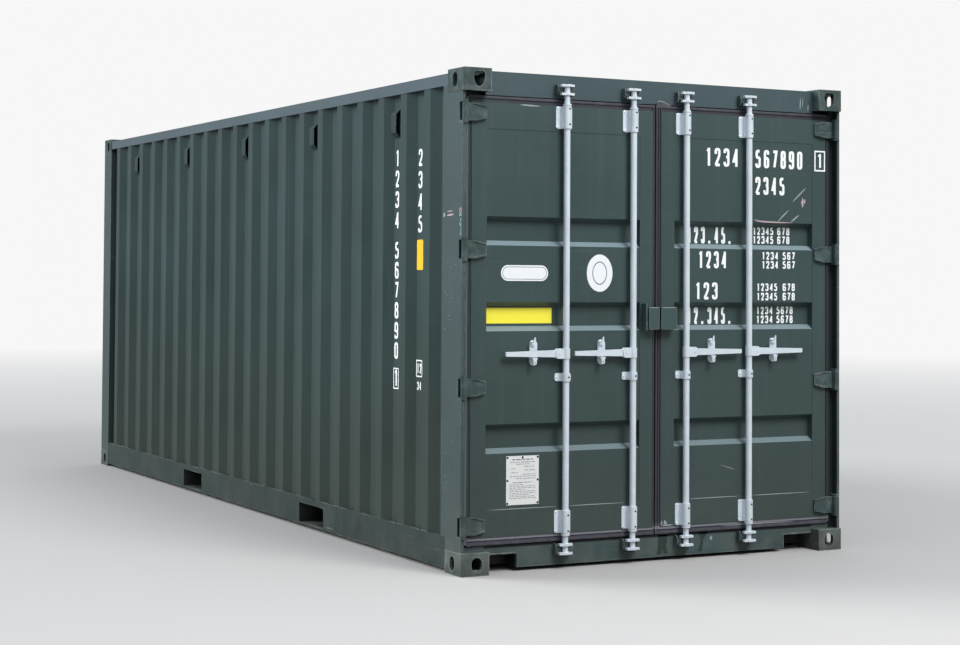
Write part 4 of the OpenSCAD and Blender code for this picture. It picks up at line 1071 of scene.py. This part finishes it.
def floorMaterial():
    # Pale to the camera, less so to the light that it throws back, and lost in the haze far away
    tree, shader = newMaterial("studioFloor")
    shader.inputs["Base Color"].default_value = stageLook["floor"]
    shader.inputs["Roughness"].default_value = 0.9
    dim = addNode(tree, "ShaderNodeBsdfDiffuse")
    haze = addNode(tree, "ShaderNodeEmission")
    setInputs(tree, dim, Color=stageLook["bounce"])
    setInputs(tree, haze, Strength=stageLook["haze"])
    seen = addNode(tree, "ShaderNodeLightPath").outputs["Is Camera Ray"]
    geometry = addNode(tree, "ShaderNodeNewGeometry")
    far = addNode(tree, "ShaderNodeVectorMath", operation="LENGTH")
    link(tree, geometry.outputs["Position"], far.inputs[0])
    fade = ramp(tree, far.outputs["Value"], 6.0, 26.0)
    ground = mixShaders(tree, seen, dim.outputs[0], shader.outputs[0])
    mixed = mixShaders(tree, times(tree, fade, seen), ground, haze.outputs[0])
    link(tree, mixed, tree.nodes["Material Output"].inputs[0])


def stagePlane():
    mesh = bmesh.new()
    size = stageLook["size"]
    mesh.faces.new([mesh.verts.new((x, y, 0)) for x, y in rectangle(-size, -size, size, size)])
    data = bpy.data.meshes.new("studio_floor")
    mesh.to_mesh(data)
    mesh.free()
    floorMaterial()
    data.materials.append(materials["studioFloor"])
    addObject("studio_floor", data)


def makeWorld():
    # A bright overcast sky, darker towards the horizon; the camera sees plain white
    world = bpy.data.worlds.new("studio")
    scene.world = world
    world.use_nodes = True
    tree = world.node_tree
    background = tree.nodes["Background"]
    direct = addNode(tree, "ShaderNodeBackground")
    setInputs(tree, direct, Color=(1, 1, 1, 1), Strength=stageLook["haze"])
    z = axes(tree, addNode(tree, "ShaderNodeTexCoord").outputs["Generated"])["Z"]
    colour = mixColour(tree, ramp(tree, z, 0.0, 0.9), stageLook["horizon"], stageLook["zenith"])
    strength = ramp(tree, z, 0.35, 1.0, stageLook["horizonLight"], stageLook["zenithLight"])
    setInputs(tree, background, Color=colour, Strength=strength)
    seen = addNode(tree, "ShaderNodeLightPath").outputs["Is Camera Ray"]
    mix = mixShaders(tree, seen, background.outputs[0], direct.outputs[0])
    link(tree, mix, tree.nodes["World Output"].inputs[0])


keyLook = {"place": (-0.70, 0.62, 0.40), "target": (0, 0, 0), "power": 4.2, "colour": (0.97, 0.99, 1.0),
           "angle": 35}
frontLook = {"place": (2.5, -12.0, 12.5), "target": (0, -3.0, 1.2), "power": 1950, "colour": (1.0, 0.99, 0.98),
             "size": 6.5}


def addLight(name, kind, look):
    data = bpy.data.lights.new(name, kind)
    data.energy = look["power"]
    data.color = look["colour"]
    lamp = addObject(name, data)
    direction = Vector(look["target"]) - Vector(look["place"])
    lamp.rotation_euler = direction.to_track_quat("-Z", "Y").to_euler()
    return lamp


stagePlane()
makeWorld()
keyLight = addLight("keyLight", "SUN", keyLook)
keyLight.data.angle = math.radians(keyLook["angle"])
keyLight.visible_glossy = False   # soft daylight without a glare on the roof
frontLight = addLight("frontLight", "AREA", frontLook)
frontLight.location = frontLook["place"]
frontLight.data.shape = "DISK"
frontLight.data.size = frontLook["size"]
print("stage set")

for width, group in softEdges.items():
    for name in group:
        rounded = nodes[name].modifiers.new("softEdge", "BEVEL")
        rounded.width = width
        rounded.segments = 2
        rounded.limit_method = "ANGLE"
        rounded.angle_limit = math.radians(25)
        rounded.use_clamp_overlap = True
        rounded.harden_normals = False

print("done")
